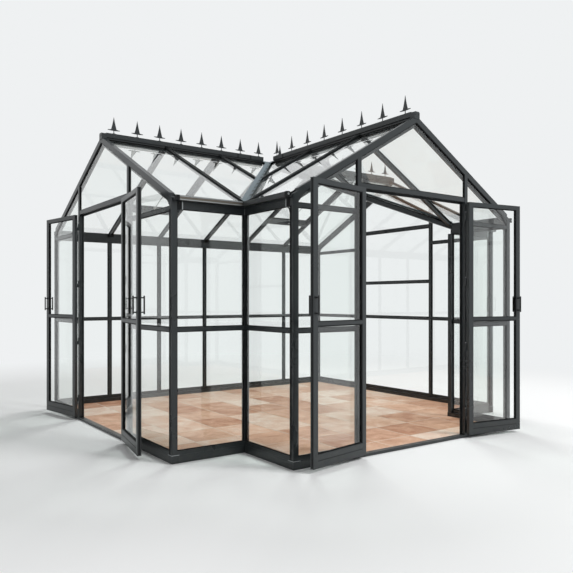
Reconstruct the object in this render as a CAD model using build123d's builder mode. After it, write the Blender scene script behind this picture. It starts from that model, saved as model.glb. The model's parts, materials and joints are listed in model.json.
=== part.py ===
from build123d import *
import os
from collections import namedtuple
from math import atan, atan2, cos, degrees, hypot, radians, sin, tan

# A glass greenhouse with a T-shaped plan. Its long main house has its ridge along X,
# and a short front wing, whose gable faces -Y, joins it in the middle.
# The origin is on the ground below the crossing of the two ridges. Everything is in millimetres.

# Plan sizes, measured to the outer faces of the posts
bay = 610.0
main_bays = 6
wing_bays = 4
wing_depth = 610.0
door_half = 610.0
gable_side = 800.0

# Heights above the ground, and the heights of some pieces over or under others
eave_height = 1898.0
roof_rise = 710.0
plinth_height = 57.0
threshold_height = 22.0
floor_thickness = 20.0
mid_rail_height = 947.0
head_rail_below_eave = 92.0
door_head_above_eave = 84.0
fixed_rail_above_mid_rail = 423.0

# Sections of the frame's bars
post = 42.0
mullion_width = 36.0
mullion_depth = 26.0
plinth_depth = 45.0
rail_height = 28.0
rail_depth = 22.0
door_head_rail_height = 35.0
eave_beam_height = 95.0
rafter_width = 30.0
rafter_depth = 45.0
gable_rafter_step = 27.0
gable_rafter_inner_depth = 76.0
ridge_beam_width = 36.0
ridge_beam_below_apex = 50.0
valley_bar_width = 40.0
valley_bar_depth = 40.0

# Glass, its grooves and the clearance that each piece has at its seat
glass_thickness = 4.0
glass_bite = 8.0
roof_glass_drop = 12.0
eave_glass_over = 14.0
valley_glass_gap = 3.0
centre_glass_gap = 3.0
seat = 0.3
joint_gap = 0.6

# Ridge caps, valley plates and crossing plate
cap_thickness = 2.5
cap_half = 30.0
cap_above_apex = 42.0
cap_crown = 6.0
cap_side = 40.0
crossing_half = 95.0
crossing_back_reach = 50.0
valley_plate_half = 32.0

# Covers over the apexes of the gables
apex_cover_above = 33.0
apex_cover_below = 24.0
apex_cover_front = 4.0
apex_cover_rounding = 12.0

# Gutters: the front lip is higher than the back, which the roof glass passes over
gutter_width = 46.0
gutter_height = 36.0
gutter_wall = 2.5
gutter_lip_drop = 5.0
gutter_glass_gap = 3.0
gutter_end_gap = 12.0

# Gussets in the eave corners of the gables
gusset_leg = 80.0
gusset_drop = 45.0
gusset_thickness = 3.0
gusset_from_face = 3.0
gusset_hollow = (0.25, 0.45)

# Roof vents in the back slope
vent_share = 0.63
vent_frame_width = 26.0
vent_frame_depth = 18.0
vent_side_gap = 3.0
vent_glass_drop = 7.0

# Finials on the ridges
finials_each = 8
finial_end_gap = 120.0
finial_crossing_gap = 138.0
finial_width = 116.0
finial_stem = 32.0
finial_spire = 120.0
finial_spire_width = 56.0
finial_waist = (0.45, 0.48)
finial_plate = 3.0
finial_stem_width = 7.0
finial_brim = 5.0
finial_brim_edge = 3.5

# Door leaves: each hangs in its doorway on an axis just outside the wall's face
leaf_depth = 30.0
leaf_stile = 44.0
leaf_top_rail = 36.0
leaf_bottom_rail = 92.0
leaf_rail_above_mid_rail = 48.0
leaf_edge_gap = 5.0
leaf_meeting_gap = 8.0
leaf_end_gap = 6.0
hinge_axis_out = 8.0
hinge_axis_in = 1.0
knuckle_radius = 6.0
knuckle_length = 34.0
knuckle_gap = 0.5
hinge_count = 4
hinge_end = 150.0
hinge_flap = (2.0, 14.0)
door_stop_lip = 17.0
door_stop_gap = 5.5
door_stop_thickness = 6.0
handle_above_mid_rail = 173.0
handle_length = 130.0
handle_standoff = 26.0
handle_radius = 6.0
handle_stem_radius = 5.0
front_left_open = 170.0
front_right_open = 171.0
side_near_open = 169.5
side_far_open = 169.5

# Sizes that follow from those above
main_half = main_bays * bay / 2
wing_half = wing_bays * bay / 2
gable_half = door_half + gable_side
front_line = gable_half + wing_depth
ridge_height = eave_height + roof_rise
main_pitch = atan(roof_rise / gable_half)
wing_pitch = atan(roof_rise / wing_half)
head_rail_height = eave_height - head_rail_below_eave
door_head_height = eave_height + door_head_above_eave
fixed_bay_rail_height = mid_rail_height + fixed_rail_above_mid_rail
half_post = post / 2
half_mullion = mullion_width / 2
glass_from_face = (mullion_depth - glass_thickness) / 2
rail_from_face = (mullion_depth - rail_depth) / 2
post_top = eave_height - eave_beam_height
half_ridge_beam = ridge_beam_width / 2
doorway_half = door_half - half_mullion
hinge_half = doorway_half - hinge_axis_in
leaf_width = hinge_half - leaf_edge_gap - leaf_meeting_gap / 2
leaf_bottom = threshold_height + leaf_end_gap
leaf_top = door_head_height - leaf_end_gap
door_stop = (leaf_depth + door_stop_gap, leaf_depth + door_stop_gap + door_stop_thickness)
handle_height = mid_rail_height + handle_above_mid_rail

Wall = namedtuple("Wall", "corner heading length")
Slope = namedtuple("Slope", "down along pitch half")

left_gable = Wall((-main_half, gable_half), (0, -1), 2 * gable_half)
left_short = Wall((-main_half, -gable_half), (1, 0), main_half - wing_half)
left_wing = Wall((-wing_half, -gable_half), (0, -1), wing_depth)
front_gable = Wall((-wing_half, -front_line), (1, 0), 2 * wing_half)
right_wing = Wall((wing_half, -front_line), (0, 1), wing_depth)
right_short = Wall((wing_half, -gable_half), (1, 0), main_half - wing_half)
right_gable = Wall((main_half, -gable_half), (0, 1), 2 * gable_half)
back_wall = Wall((main_half, gable_half), (-1, 0), 2 * main_half)

back_slope = Slope((0, 1), (1, 0), main_pitch, gable_half)
front_slope = Slope((0, -1), (-1, 0), main_pitch, gable_half)
wing_left_slope = Slope((-1, 0), (0, 1), wing_pitch, wing_half)
wing_right_slope = Slope((1, 0), (0, -1), wing_pitch, wing_half)


# Frames of reference

def plan_frame(wall):
    """A wall's plan: x along the wall, y inwards from its outer face, z up."""
    return Plane(origin=(*wall.corner, 0), x_dir=(*wall.heading, 0), z_dir=(0, 0, 1))


def elevation(wall, depth):
    """A wall seen from outside at a depth behind its outer face: x along it, y up."""
    outward = (wall.heading[1], -wall.heading[0])
    origin = (wall.corner[0] - outward[0] * depth, wall.corner[1] - outward[1] * depth, 0)
    return Plane(origin=origin, x_dir=(*wall.heading, 0), z_dir=(*outward, 0))


def slope_face(slope, lift):
    """A roof slope's own plane: x along the ridge, y down the slope, lifted off the roof."""
    lean = sin(slope.pitch)
    normal = (slope.down[0] * lean, slope.down[1] * lean, cos(slope.pitch))
    return Plane(origin=(0, 0, roof_level(slope, 0, -lift)), x_dir=(*slope.along, 0), z_dir=normal)


def slope_section(slope, station):
    """A slope cut across at a station along the ridge: x level from the ridge, y up."""
    origin = (slope.along[0] * station, slope.along[1] * station, 0)
    return Plane(origin=origin, x_dir=(*slope.down, 0), z_dir=(*slope.along, 0))


def roof_level(slope, run, drop=0.0):
    """Height of a slope at a level distance from its ridge, a depth below it square to it."""
    return ridge_height - run * tan(slope.pitch) - drop / cos(slope.pitch)


# Pieces that the sub-parts are made of

def block(frame, x, y, z, mode=Mode.ADD):
    """A square-edged piece between low and high limits along a frame's axes."""
    with BuildSketch(frame.offset(z[0])) as face:
        with Locations(((x[0] + x[1]) / 2, (y[0] + y[1]) / 2)):
            Rectangle(x[1] - x[0], y[1] - y[0])
    extrude(face.sketch, amount=z[1] - z[0], mode=mode)


def plate(plane, points, thickness, mode=Mode.ADD):
    """A flat piece with straight edges, on a plane."""
    with BuildSketch(plane) as face:
        with BuildLine():
            Polyline(*points, close=True)
        make_face()
    extrude(face.sketch, amount=thickness, mode=mode)


def band(slope, runs, drops):
    """Corners of a strip that follows a slope in section, with plumb ends."""
    near, far = runs
    top, bottom = drops
    return [
        (near, roof_level(slope, near, top)),
        (near, roof_level(slope, near, bottom)),
        (far, roof_level(slope, far, bottom)),
        (far, roof_level(slope, far, top)),
    ]


def slope_bar(slope, station, width, runs, drops, mode=Mode.ADD):
    """A bar that runs down a slope, centred on a station along the ridge."""
    with BuildSketch(slope_section(slope, station)) as face:
        with BuildLine():
            Polyline(*band(slope, runs, drops), close=True)
        make_face()
    extrude(face.sketch, amount=width / 2, both=True, mode=mode)


def plan_prism(outlines, mode):
    """Keeps or clears everything over some outlines in plan."""
    with BuildSketch(Plane.XY) as face:
        for outline in outlines:
            with BuildLine():
                Polyline(*outline, close=True)
            make_face()
    extrude(face.sketch, amount=2 * ridge_height, mode=mode)


def cut_valleys(half_width):
    """Clears a plumb strip along both valleys."""
    length = hypot(wing_half, gable_half)
    for side in (-1, 1):
        turn = degrees(atan2(-gable_half, side * wing_half))
        strip = Plane.XY.rotated((0, 0, turn))
        width, height = (-half_width, half_width), (0, 2 * ridge_height)
        block(strip, (0, 2 * length), width, height, Mode.SUBTRACT)


# The glass of the walls: each pane is its clear opening, with a bite into the frame all round

Pane = namedtuple("Pane", "wall x z roof")


def gable_roof(wall):
    """The slope that a gable wall stands under."""
    return wing_left_slope if wall is front_gable else back_slope


def pane_solids(panes, grow, mode):
    """Wall panes, or the grooves that they sit in when they are grown by their clearance."""
    bite = glass_bite + grow
    for wall in dict.fromkeys(pane.wall for pane in panes):
        own = [pane for pane in panes if pane.wall is wall]
        with BuildSketch(elevation(wall, glass_from_face - grow)) as face:
            for pane in own:
                (x_low, x_high), (z_low, z_high) = pane.x, pane.z
                with Locations(((x_low + x_high) / 2, (z_low + z_high) / 2)):
                    Rectangle(x_high - x_low + 2 * bite, z_high - z_low + 2 * bite)
            if any(pane.roof for pane in own):
                slope = gable_roof(wall)
                middle, drop = wall.length / 2, rafter_depth - bite
                side = roof_level(slope, middle, drop)
                with BuildLine():
                    Polyline(
                        (0, 0),
                        (wall.length, 0),
                        (wall.length, side),
                        (middle, roof_level(slope, 0, drop)),
                        (0, side),
                        close=True,
                    )
                make_face(mode=Mode.INTERSECT)
        extrude(face.sketch, amount=-(glass_thickness + 2 * grow), mode=mode)


def cut_slots(panes):
    """Cuts the glazing grooves for some panes into the bars of a sub-part."""
    pane_solids(panes, seat, Mode.SUBTRACT)


half_rail = rail_height / 2
sill = plinth_height + rail_height
lower_z = (sill, mid_rail_height - half_rail)
upper_z = (mid_rail_height + half_rail, head_rail_height - half_rail)
long_upper_z = (mid_rail_height + half_rail, post_top)
top_z = (head_rail_height + half_rail, ridge_height)
fan_z = (door_head_height + door_head_rail_height, ridge_height)


def gable_sides(wall):
    """Clear widths of the two side bays of a gable wall."""
    middle = wall.length / 2
    return [
        (post, middle - door_half - half_mullion),
        (middle + door_half + half_mullion, wall.length - post),
    ]


def gable_middle(wall):
    """Clear width of the middle bay of a gable wall."""
    middle = wall.length / 2
    return (middle - doorway_half, middle + doorway_half)


def gable_panes(wall):
    """All the panes of a gable wall with a doorway."""
    panes = []
    for side in gable_sides(wall):
        panes += [Pane(wall, side, lower_z, False), Pane(wall, side, upper_z, False)]
        panes.append(Pane(wall, side, top_z, True))
    panes.append(Pane(wall, gable_middle(wall), fan_z, True))
    return panes


def back_bays():
    """Clear widths between the posts and mullions of the back wall."""
    edges = [post]
    for k in range(1, main_bays):
        edges += [k * bay - half_mullion, k * bay + half_mullion]
    edges.append(main_bays * bay - post)
    return list(zip(edges[::2], edges[1::2]))


short_bays = {
    left_short: (post, left_short.length),
    left_wing: (0, left_wing.length - post),
    right_wing: (post, right_wing.length),
    right_short: (0, right_short.length - post),
}

left_gable_panes = gable_panes(left_gable)
front_gable_panes = gable_panes(front_gable)
right_gable_panes = gable_panes(right_gable)
right_middle = gable_middle(right_gable)
fixed_low = fixed_bay_rail_height - half_rail
fixed_high = fixed_bay_rail_height + half_rail
right_gable_panes += [
    Pane(right_gable, right_middle, lower_z, False),
    Pane(right_gable, right_middle, (mid_rail_height + half_rail, fixed_low), False),
    Pane(right_gable, right_middle, (fixed_high, door_head_height), False),
]
long_z = (lower_z, long_upper_z)
back_panes = [Pane(back_wall, x, z, False) for x in back_bays() for z in long_z]
short_panes = [Pane(wall, x, z, False) for wall, x in short_bays.items() for z in long_z]
gable_wall_panes = left_gable_panes + front_gable_panes + right_gable_panes
all_wall_panes = gable_wall_panes + back_panes + short_panes


# Floor: tiled slabs inside the plinth, one for the main house and one for the wing

inside = plinth_depth + seat
with BuildPart() as floor:
    slab_x, slab_y, slab_z = main_half - inside, gable_half - inside, (0, floor_thickness)
    block(Plane.XY, (-slab_x, slab_x), (-slab_y, slab_y), slab_z)
    wing_x = wing_half - inside
    block(Plane.XY, (-wing_x, wing_x), (-front_line + inside, -slab_y - joint_gap), slab_z)


# Plinth: low hollow-section bars under every wall, open at the two doorways

def plinth_bar(wall, start, end):
    block(plan_frame(wall), (start, end), (0, plinth_depth), (0, plinth_height))


def doorway(wall):
    """Where the plinth stops at each side of a doorway."""
    return gable_middle(wall)


with BuildPart() as base_plinth:
    plinth_bar(left_gable, 0, doorway(left_gable)[0])
    left_end = left_gable.length - plinth_depth - joint_gap
    plinth_bar(left_gable, doorway(left_gable)[1], left_end)
    plinth_bar(left_short, 0, left_short.length + plinth_depth)
    plinth_bar(left_wing, joint_gap, left_wing.length - plinth_depth - joint_gap)
    plinth_bar(front_gable, 0, doorway(front_gable)[0])
    front_end = front_gable.length - plinth_depth - joint_gap
    plinth_bar(front_gable, doorway(front_gable)[1], front_end)
    plinth_bar(right_wing, 0, right_wing.length - joint_gap)
    plinth_bar(right_short, -plinth_depth, right_short.length - plinth_depth - joint_gap)
    plinth_bar(right_gable, 0, right_gable.length - plinth_depth - joint_gap)
    plinth_bar(back_wall, 0, back_wall.length - plinth_depth - joint_gap)

with BuildPart() as door_thresholds:
    for wall in (left_gable, front_gable):
        start, end = doorway(wall)
        block(plan_frame(wall), (start, end), (0, plinth_depth), (0, threshold_height))


# Posts and mullions

with BuildPart() as corner_posts:
    for wall, start in (
        (left_gable, 0),
        (left_short, 0),
        (left_wing, -post),
        (front_gable, 0),
        (right_wing, 0),
        (right_short, -post),
        (right_gable, 0),
        (back_wall, 0),
    ):
        block(plan_frame(wall), (start, start + post), (0, post), (plinth_height, post_top))
    cut_slots(all_wall_panes)

with BuildPart() as back_wall_mullions:
    for k in range(1, main_bays):
        centre = k * bay
        width = (centre - half_mullion, centre + half_mullion)
        block(plan_frame(back_wall), width, (0, mullion_depth), (plinth_height, post_top))
    cut_slots(back_panes)


def gable_mullions(wall, panes):
    """The two tall bars of a gable, from the plinth to the underside of its rafters."""
    slope = gable_roof(wall)
    middle = wall.length / 2
    for side in (-1, 1):
        inner, outer = door_half - half_mullion, door_half + half_mullion
        plate(
            elevation(wall, 0),
            [
                (middle + side * inner, plinth_height),
                (middle + side * outer, plinth_height),
                (middle + side * outer, roof_level(slope, outer, rafter_depth)),
                (middle + side * inner, roof_level(slope, inner, rafter_depth)),
            ],
            -mullion_depth,
        )
    cut_slots(panes)


def door_stops(wall):
    """The back of each jamb, with the lip that the leaf shuts against."""
    frame, middle = plan_frame(wall), wall.length / 2
    back = (rail_from_face + rail_depth, door_stop[1])
    lip_edge = doorway_half - door_stop_lip
    for side in (-1, 1):
        jamb = sorted(middle + side * x for x in (doorway_half, doorway_half + mullion_width))
        block(frame, jamb, back, (plinth_height, door_head_height + door_head_rail_height))
        lip = sorted(middle + side * x for x in (lip_edge, doorway_half + half_mullion))
        block(frame, lip, door_stop, (plinth_height, door_head_height - seat))
        foot = sorted(middle + side * x for x in (lip_edge, doorway_half - seat))
        block(frame, foot, door_stop, (threshold_height + seat, plinth_height))


with BuildPart() as door_jambs:
    for wall, panes in ((left_gable, left_gable_panes), (front_gable, front_gable_panes)):
        gable_mullions(wall, panes)
        door_stops(wall)

with BuildPart() as right_gable_mullions:
    gable_mullions(right_gable, right_gable_panes)


# Rails

rail_back = rail_from_face + rail_depth
door_head_z = (door_head_height, door_head_height + door_head_rail_height)


def rail(wall, x, middle_height):
    """A level rail between two uprights."""
    level = (middle_height - half_rail, middle_height + half_rail)
    block(plan_frame(wall), x, (rail_from_face, rail_back), level)


panel_bays = [(back_wall, x) for x in back_bays()] + list(short_bays.items())
side_bays = [(w, x) for w in (left_gable, front_gable, right_gable) for x in gable_sides(w)]
fixed_bay = [(right_gable, right_middle)]

with BuildPart() as bottom_rails:
    for wall, x in panel_bays + side_bays + fixed_bay:
        rail(wall, x, plinth_height + half_rail)
    cut_slots(all_wall_panes)

with BuildPart() as middle_rails:
    for wall, x in panel_bays + side_bays + fixed_bay:
        rail(wall, x, mid_rail_height)
    rail(right_gable, right_middle, fixed_bay_rail_height)
    cut_slots(all_wall_panes)

with BuildPart() as gable_head_rails:
    for wall, x in side_bays:
        rail(wall, x, head_rail_height)
    for wall in (left_gable, front_gable, right_gable):
        block(plan_frame(wall), gable_middle(wall), (rail_from_face, rail_back), door_head_z)
    for wall in (left_gable, front_gable):
        low, high = gable_middle(wall)
        block(plan_frame(wall), (low, high), (rail_back, door_stop[1]), door_head_z)
        lip_x = (low + door_stop_lip + seat, high - door_stop_lip - seat)
        lip_z = (door_head_height - door_stop_lip, door_head_height)
        block(plan_frame(wall), lip_x, door_stop, lip_z)
    cut_slots(gable_wall_panes)


# Eave beams: their tops follow the slope just under the roof glass

glass_under = roof_glass_drop + glass_thickness + seat


def eave_beam(slope, stations):
    """A beam along an eave, from one station of the slope's ridge to another."""
    low, high = stations
    outer, inner = slope.half, slope.half - post
    plate(
        slope_section(slope, low),
        [
            (inner, post_top),
            (outer, post_top),
            (outer, roof_level(slope, outer, glass_under)),
            (inner, roof_level(slope, inner, glass_under)),
        ],
        high - low,
    )


with BuildPart() as eave_beams:
    eave_beam(back_slope, (-main_half, main_half))
    eave_beam(front_slope, (-main_half, -wing_half))
    eave_beam(front_slope, (wing_half, main_half))
    eave_beam(wing_left_slope, (-front_line, -gable_half - joint_gap))
    eave_beam(wing_right_slope, (gable_half + joint_gap, front_line))
    cut_slots(all_wall_panes)


# Ridge beams: full height under the caps, and cut to the roof's shape where the ridges cross

wing_crossing_half = crossing_half * gable_half / wing_half
ridge_beam_bottom = ridge_height - ridge_beam_below_apex
cap_seat_half = half_ridge_beam + seat
cap_seat_fall = cap_crown * cap_seat_half / (cap_half - cap_thickness)
cap_seat_height = ridge_height + cap_above_apex - cap_thickness - cap_seat_fall
ridge_beam_top = cap_seat_height - seat


def upright_section(half, top):
    """Corners of a square-edged section over a ridge's middle, from the beams' underside up."""
    bottom = ridge_beam_bottom
    return [(-half, bottom), (half, bottom), (half, top), (-half, top)]


def ridge_beam(slope, stations):
    """A stretch of a ridge beam at its full height, up into its cap."""
    low, high = stations
    corners = upright_section(half_ridge_beam, ridge_beam_top)
    plate(slope_section(slope, low), corners, high - low)


def crossing_beam(slope, stations):
    """A stretch of a ridge beam that stays under the crossing plate."""
    low, high = stations
    half, bottom = half_ridge_beam, ridge_beam_bottom
    shoulder, top = (roof_level(slope, run, glass_under) for run in (half, 0))
    corners = [(-half, bottom), (half, bottom), (half, shoulder), (0, top), (-half, shoulder)]
    plate(slope_section(slope, low), corners, high - low)


def cut_ridge_grooves(slope, length):
    """Cuts the groove for the top of one slope's glass."""
    runs = (half_ridge_beam - glass_bite - seat, ridge_beam_width)
    slope_bar(slope, 0, 2 * length, runs, (roof_glass_drop - seat, glass_under), Mode.SUBTRACT)


main_beam_end = main_half - post - joint_gap
wing_beam_end = front_line - post - joint_gap
with BuildPart() as main_ridge_beam:
    ridge_beam(back_slope, (-main_beam_end, -crossing_half))
    crossing_beam(back_slope, (-crossing_half, crossing_half))
    ridge_beam(back_slope, (crossing_half, main_beam_end))
    cut_ridge_grooves(back_slope, main_half)
    cut_ridge_grooves(front_slope, main_half)

with BuildPart() as ridge_beams:
    crossing_beam(wing_right_slope, (half_ridge_beam + joint_gap, wing_crossing_half))
    ridge_beam(wing_right_slope, (wing_crossing_half, wing_beam_end))
    cut_ridge_grooves(wing_right_slope, front_line)
    cut_ridge_grooves(wing_left_slope, front_line)
    add(main_ridge_beam.part)


# Rafters, with grooves for the roof glass in their sides

RoofBay = namedtuple("RoofBay", "slope low high")


def roof_bays(slope, stations):
    """Clear bays between rafters whose centres and half widths are given along the ridge."""
    clear = []
    for (a, half_a), (b, half_b) in zip(stations, stations[1:]):
        clear.append(RoofBay(slope, a + half_a, b - half_b))
    return clear


half_rafter = rafter_width / 2
end_station = main_half - half_post
corner_station = wing_half - half_post
back_stations = [(-end_station, half_post)]
back_stations += [((k - main_bays / 2) * bay, half_rafter) for k in range(1, main_bays)]
back_stations.append((end_station, half_post))
back_roof_bays = roof_bays(back_slope, back_stations)


def rafter(slope, station, width):
    """A rafter from the side of the ridge beam to the inside of the eave beam."""
    slope_bar(slope, station, width, (half_ridge_beam, slope.half - post), (0, rafter_depth))


def gable_rafter(slope, station):
    """A rafter in a gable, deeper behind than in front: it meets its pair at the apex."""
    sign = 1 if station > 0 else -1
    runs = (joint_gap / 2, slope.half - post)
    slope_bar(slope, station, post, runs, (0, rafter_depth))
    behind = post - gable_rafter_step
    inner_station = station - sign * gable_rafter_step / 2
    slope_bar(slope, inner_station, behind, runs, (0, gable_rafter_inner_depth))


def cut_roof_slots(bays):
    """Cuts the grooves that the roof glass sits in."""
    for b in bays:
        middle, width = (b.low + b.high) / 2, b.high - b.low + 2 * (glass_bite + seat)
        drops = (roof_glass_drop - seat, glass_under)
        slope_bar(b.slope, middle, width, (0, b.slope.half + bay), drops, Mode.SUBTRACT)


vent_bays = (back_roof_bays[1], back_roof_bays[-2])
vent_end = vent_share * gable_half

with BuildPart() as back_rafters:
    for station, half_width in back_stations[1:-1]:
        rafter(back_slope, station, 2 * half_width)
    for b in vent_bays:
        middle, width = (b.low + b.high) / 2, b.high - b.low - 2 * joint_gap
        slope_bar(b.slope, middle, width, (vent_end, vent_end + rail_height), (0, rafter_depth))
    cut_roof_slots(back_roof_bays)



def mirrored(stations):
    """The same stations on the other side of the crossing."""
    return [(-station, half_width) for station, half_width in reversed(stations)]


front_stations = [(0, 0), (bay, half_rafter), (corner_station, half_rafter), (end_station, half_post)]
front_roof_bays = roof_bays(front_slope, front_stations)
front_roof_bays += roof_bays(front_slope, mirrored(front_stations))

jack_station = gable_half / 2
wing_corner = gable_half - half_post
wing_end = front_line - half_post
wing_stations = [(0, 0), (jack_station, half_rafter), (wing_corner, half_rafter), (wing_end, half_post)]
wing_roof_bays = roof_bays(wing_right_slope, wing_stations)
wing_roof_bays += roof_bays(wing_left_slope, mirrored(wing_stations))

far_x, far_y = 2 * wing_half, -2 * gable_half
over_wing = [[(0, 0), (far_x, far_y), (-far_x, far_y)]]
beside_wing = [[(0, 0), (side * far_x, far_y), (side * far_x, 0)] for side in (-1, 1)]

with BuildPart() as front_rafters:
    for side in (-1, 1):
        for station, half_width in front_stations[1:-1]:
            rafter(front_slope, side * station, 2 * half_width)
    cut_roof_slots(front_roof_bays)
    plan_prism(beside_wing, Mode.INTERSECT)
    cut_valleys(valley_bar_width / 2)

with BuildPart() as wing_rafters:
    for slope, side in ((wing_right_slope, 1), (wing_left_slope, -1)):
        for station, half_width in wing_stations[1:-1]:
            rafter(slope, side * station, 2 * half_width)
    cut_roof_slots(wing_roof_bays)
    plan_prism(over_wing, Mode.INTERSECT)
    cut_valleys(valley_bar_width / 2)

with BuildPart() as gable_rafters:
    for side in (-1, 1):
        gable_rafter(back_slope, side * end_station)
        gable_rafter(front_slope, side * end_station)
    gable_rafter(wing_right_slope, wing_end)
    gable_rafter(wing_left_slope, -wing_end)
    cut_roof_slots(back_roof_bays + front_roof_bays + wing_roof_bays)
    cut_slots(gable_wall_panes)


# Valley bars, from the crossing of the ridges to the two inner corners

valley_length = hypot(wing_half, gable_half)
with BuildPart() as valley_bars:
    top_drop = glass_under / cos(wing_pitch) + joint_gap
    for side in (-1, 1):
        direction = Vector(side * wing_half, -gable_half, 0).normalized()
        section = Plane(origin=(0, 0, 0), x_dir=direction, z_dir=direction.cross(Vector(0, 0, 1)))
        with BuildSketch(section) as face:
            with BuildLine():
                Polyline(
                    (0, ridge_height - top_drop),
                    (valley_length, eave_height - top_drop),
                    (valley_length, eave_height - top_drop - valley_bar_depth),
                    (0, ridge_height - top_drop - valley_bar_depth),
                    close=True,
                )
            make_face()
        extrude(face.sketch, amount=valley_bar_width / 2, both=True)
    with BuildSketch(Plane.XY) as between:
        for side in (-1, 1):
            near, far = half_ridge_beam, wing_half
            with Locations((side * (near + far) / 2, -(near + gable_half) / 2)):
                Rectangle(far - near, gable_half - near)
    extrude(between.sketch, amount=ridge_height, mode=Mode.INTERSECT)
    cut_slots(short_panes)


# Roof glass, one pane in each bay, cut along the valleys

def roof_pane(b, start, end):
    """A rectangular pane of a roof bay, between two level distances from the ridge."""
    slant = cos(b.slope.pitch)
    x_low = b.low - glass_bite if b.low else centre_glass_gap
    x_high = b.high + glass_bite if b.high else -centre_glass_gap
    near, far = start / slant, end / slant
    corners = [(x_low, near), (x_high, near), (x_high, far), (x_low, far)]
    plate(slope_face(b.slope, -roof_glass_drop - glass_thickness), corners, glass_thickness)


glass_start = half_ridge_beam - glass_bite
with BuildPart() as back_roof_glass:
    for b in back_roof_bays:
        start = vent_end + rail_height - glass_bite if b in vent_bays else glass_start
        roof_pane(b, start, gable_half + eave_glass_over)


def trimmed_glass(bays, outlines):
    """The panes of a slope that ends at the valleys."""
    for b in bays:
        roof_pane(b, glass_start, b.slope.half + eave_glass_over)
    plan_prism(outlines, Mode.INTERSECT)
    cut_valleys(valley_glass_gap)


with BuildPart() as front_roof_glass:
    trimmed_glass(front_roof_bays, beside_wing)

with BuildPart() as wing_roof_glass:
    trimmed_glass(wing_roof_bays, over_wing)


# Roof vents: a framed light under the ridge cap in two bays of the back slope, shut

def vent_limits(b):
    """The vent's edges: along the ridge, and level from the ridge."""
    head = half_ridge_beam + vent_side_gap
    return (b.low + vent_side_gap, b.high - vent_side_gap), (head, vent_end - seat)


with BuildPart() as roof_vent_frames:
    for b in vent_bays:
        x, runs = vent_limits(b)
        middle, width = (x[0] + x[1]) / 2, x[1] - x[0]
        inner_width = width - 2 * vent_frame_width
        inner_runs = (runs[0] + vent_frame_width, runs[1] - vent_frame_width)
        drops = (0, vent_frame_depth)
        for side in (-1, 1):
            stile = middle + side * (width - vent_frame_width) / 2
            slope_bar(b.slope, stile, vent_frame_width, runs, drops)
        slope_bar(b.slope, middle, inner_width - 2 * seat, (runs[0], inner_runs[0]), drops)
        slope_bar(b.slope, middle, inner_width - 2 * seat, (inner_runs[1], runs[1]), drops)
        slot_runs = (inner_runs[0] - glass_bite - seat, inner_runs[1] + glass_bite + seat)
        slot_width = inner_width + 2 * (glass_bite + seat)
        drops = (vent_glass_drop - seat, vent_glass_drop + glass_thickness + seat)
        slope_bar(b.slope, middle, slot_width, slot_runs, drops, Mode.SUBTRACT)

with BuildPart() as roof_vent_glass:
    for b in vent_bays:
        x, runs = vent_limits(b)
        middle, width = (x[0] + x[1]) / 2, x[1] - x[0] - 2 * (vent_frame_width - glass_bite)
        runs = (runs[0] + vent_frame_width - glass_bite, runs[1] - vent_frame_width + glass_bite)
        slope_bar(b.slope, middle, width, runs, (vent_glass_drop, vent_glass_drop + glass_thickness))


# Ridge caps: hollow, with a shallow crown and closed ends, seated on the ridge beams

def cap_section(inset):
    """Corners of a cap's outline in section, brought in by a wall's thickness."""
    half = cap_half - inset
    crown = ridge_height + cap_above_apex - inset
    shoulder = crown - cap_crown
    foot = crown - cap_crown - cap_side
    return [(-half, foot), (half, foot), (half, shoulder), (0, crown), (-half, shoulder)]


def ridge_cap(slope, stations):
    low, high = stations
    plate(slope_section(slope, low), cap_section(0), high - low)
    inner = slope_section(slope, low + cap_thickness)
    plate(inner, cap_section(cap_thickness), high - low - 2 * cap_thickness, Mode.SUBTRACT)
    beam_way = upright_section(cap_seat_half, cap_seat_height)
    plate(slope_section(slope, low), beam_way, high - low, Mode.SUBTRACT)


with BuildPart() as ridge_caps:
    ridge_cap(back_slope, (-main_beam_end, -crossing_half - seat))
    ridge_cap(back_slope, (crossing_half + seat, main_beam_end))
    ridge_cap(wing_right_slope, (wing_crossing_half + seat, wing_beam_end))


# Valley plates: a folded strip over each valley, and a five-sided plate over the crossing

def fold(slope, stations, reaches):
    """A folded strip over a ridge, with a flange of its own width on each side."""
    low, high = stations
    left, right = reaches
    top = -seat - cap_thickness
    plate(
        slope_section(slope, low),
        [
            (right, roof_level(slope, right, -seat)),
            (right, roof_level(slope, right, top)),
            (0, roof_level(slope, 0, top)),
            (-left, roof_level(slope, left, top)),
            (-left, roof_level(slope, left, -seat)),
            (0, roof_level(slope, 0, -seat)),
        ],
        high - low,
    )


def valley_flange(slope, side):
    """One flange of a valley plate, lying on one of its two slopes."""
    on_main = slope is front_slope
    start, end = (crossing_half, wing_half) if on_main else (wing_crossing_half, gable_half)
    ratio = slope.half / end
    reach = valley_plate_half * hypot(1, ratio)
    slant = cos(slope.pitch)
    corners = []
    for x, inwards in ((start, 0), (end, 0), (end, reach), (start, reach)):
        corners.append((side * x, (x * ratio - inwards) / slant))
    plate(slope_face(slope, seat), corners, cap_thickness)


crossing_edge = crossing_half - seat
wing_crossing_edge = crossing_edge * gable_half / wing_half
with BuildPart() as crossing_wing_fold:
    fold(wing_right_slope, (0, wing_crossing_edge), (crossing_edge, crossing_edge))
    plan_prism(over_wing, Mode.INTERSECT)

with BuildPart() as valley_plates:
    fold(front_slope, (-crossing_edge, crossing_edge), (crossing_back_reach, wing_crossing_edge))
    plan_prism(over_wing, Mode.SUBTRACT)
    add(crossing_wing_fold.part)
    for side in (-1, 1):
        valley_flange(front_slope, -side)
        valley_flange(wing_right_slope if side > 0 else wing_left_slope, side)


# Gutters along every eave, closed at their ends

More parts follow.
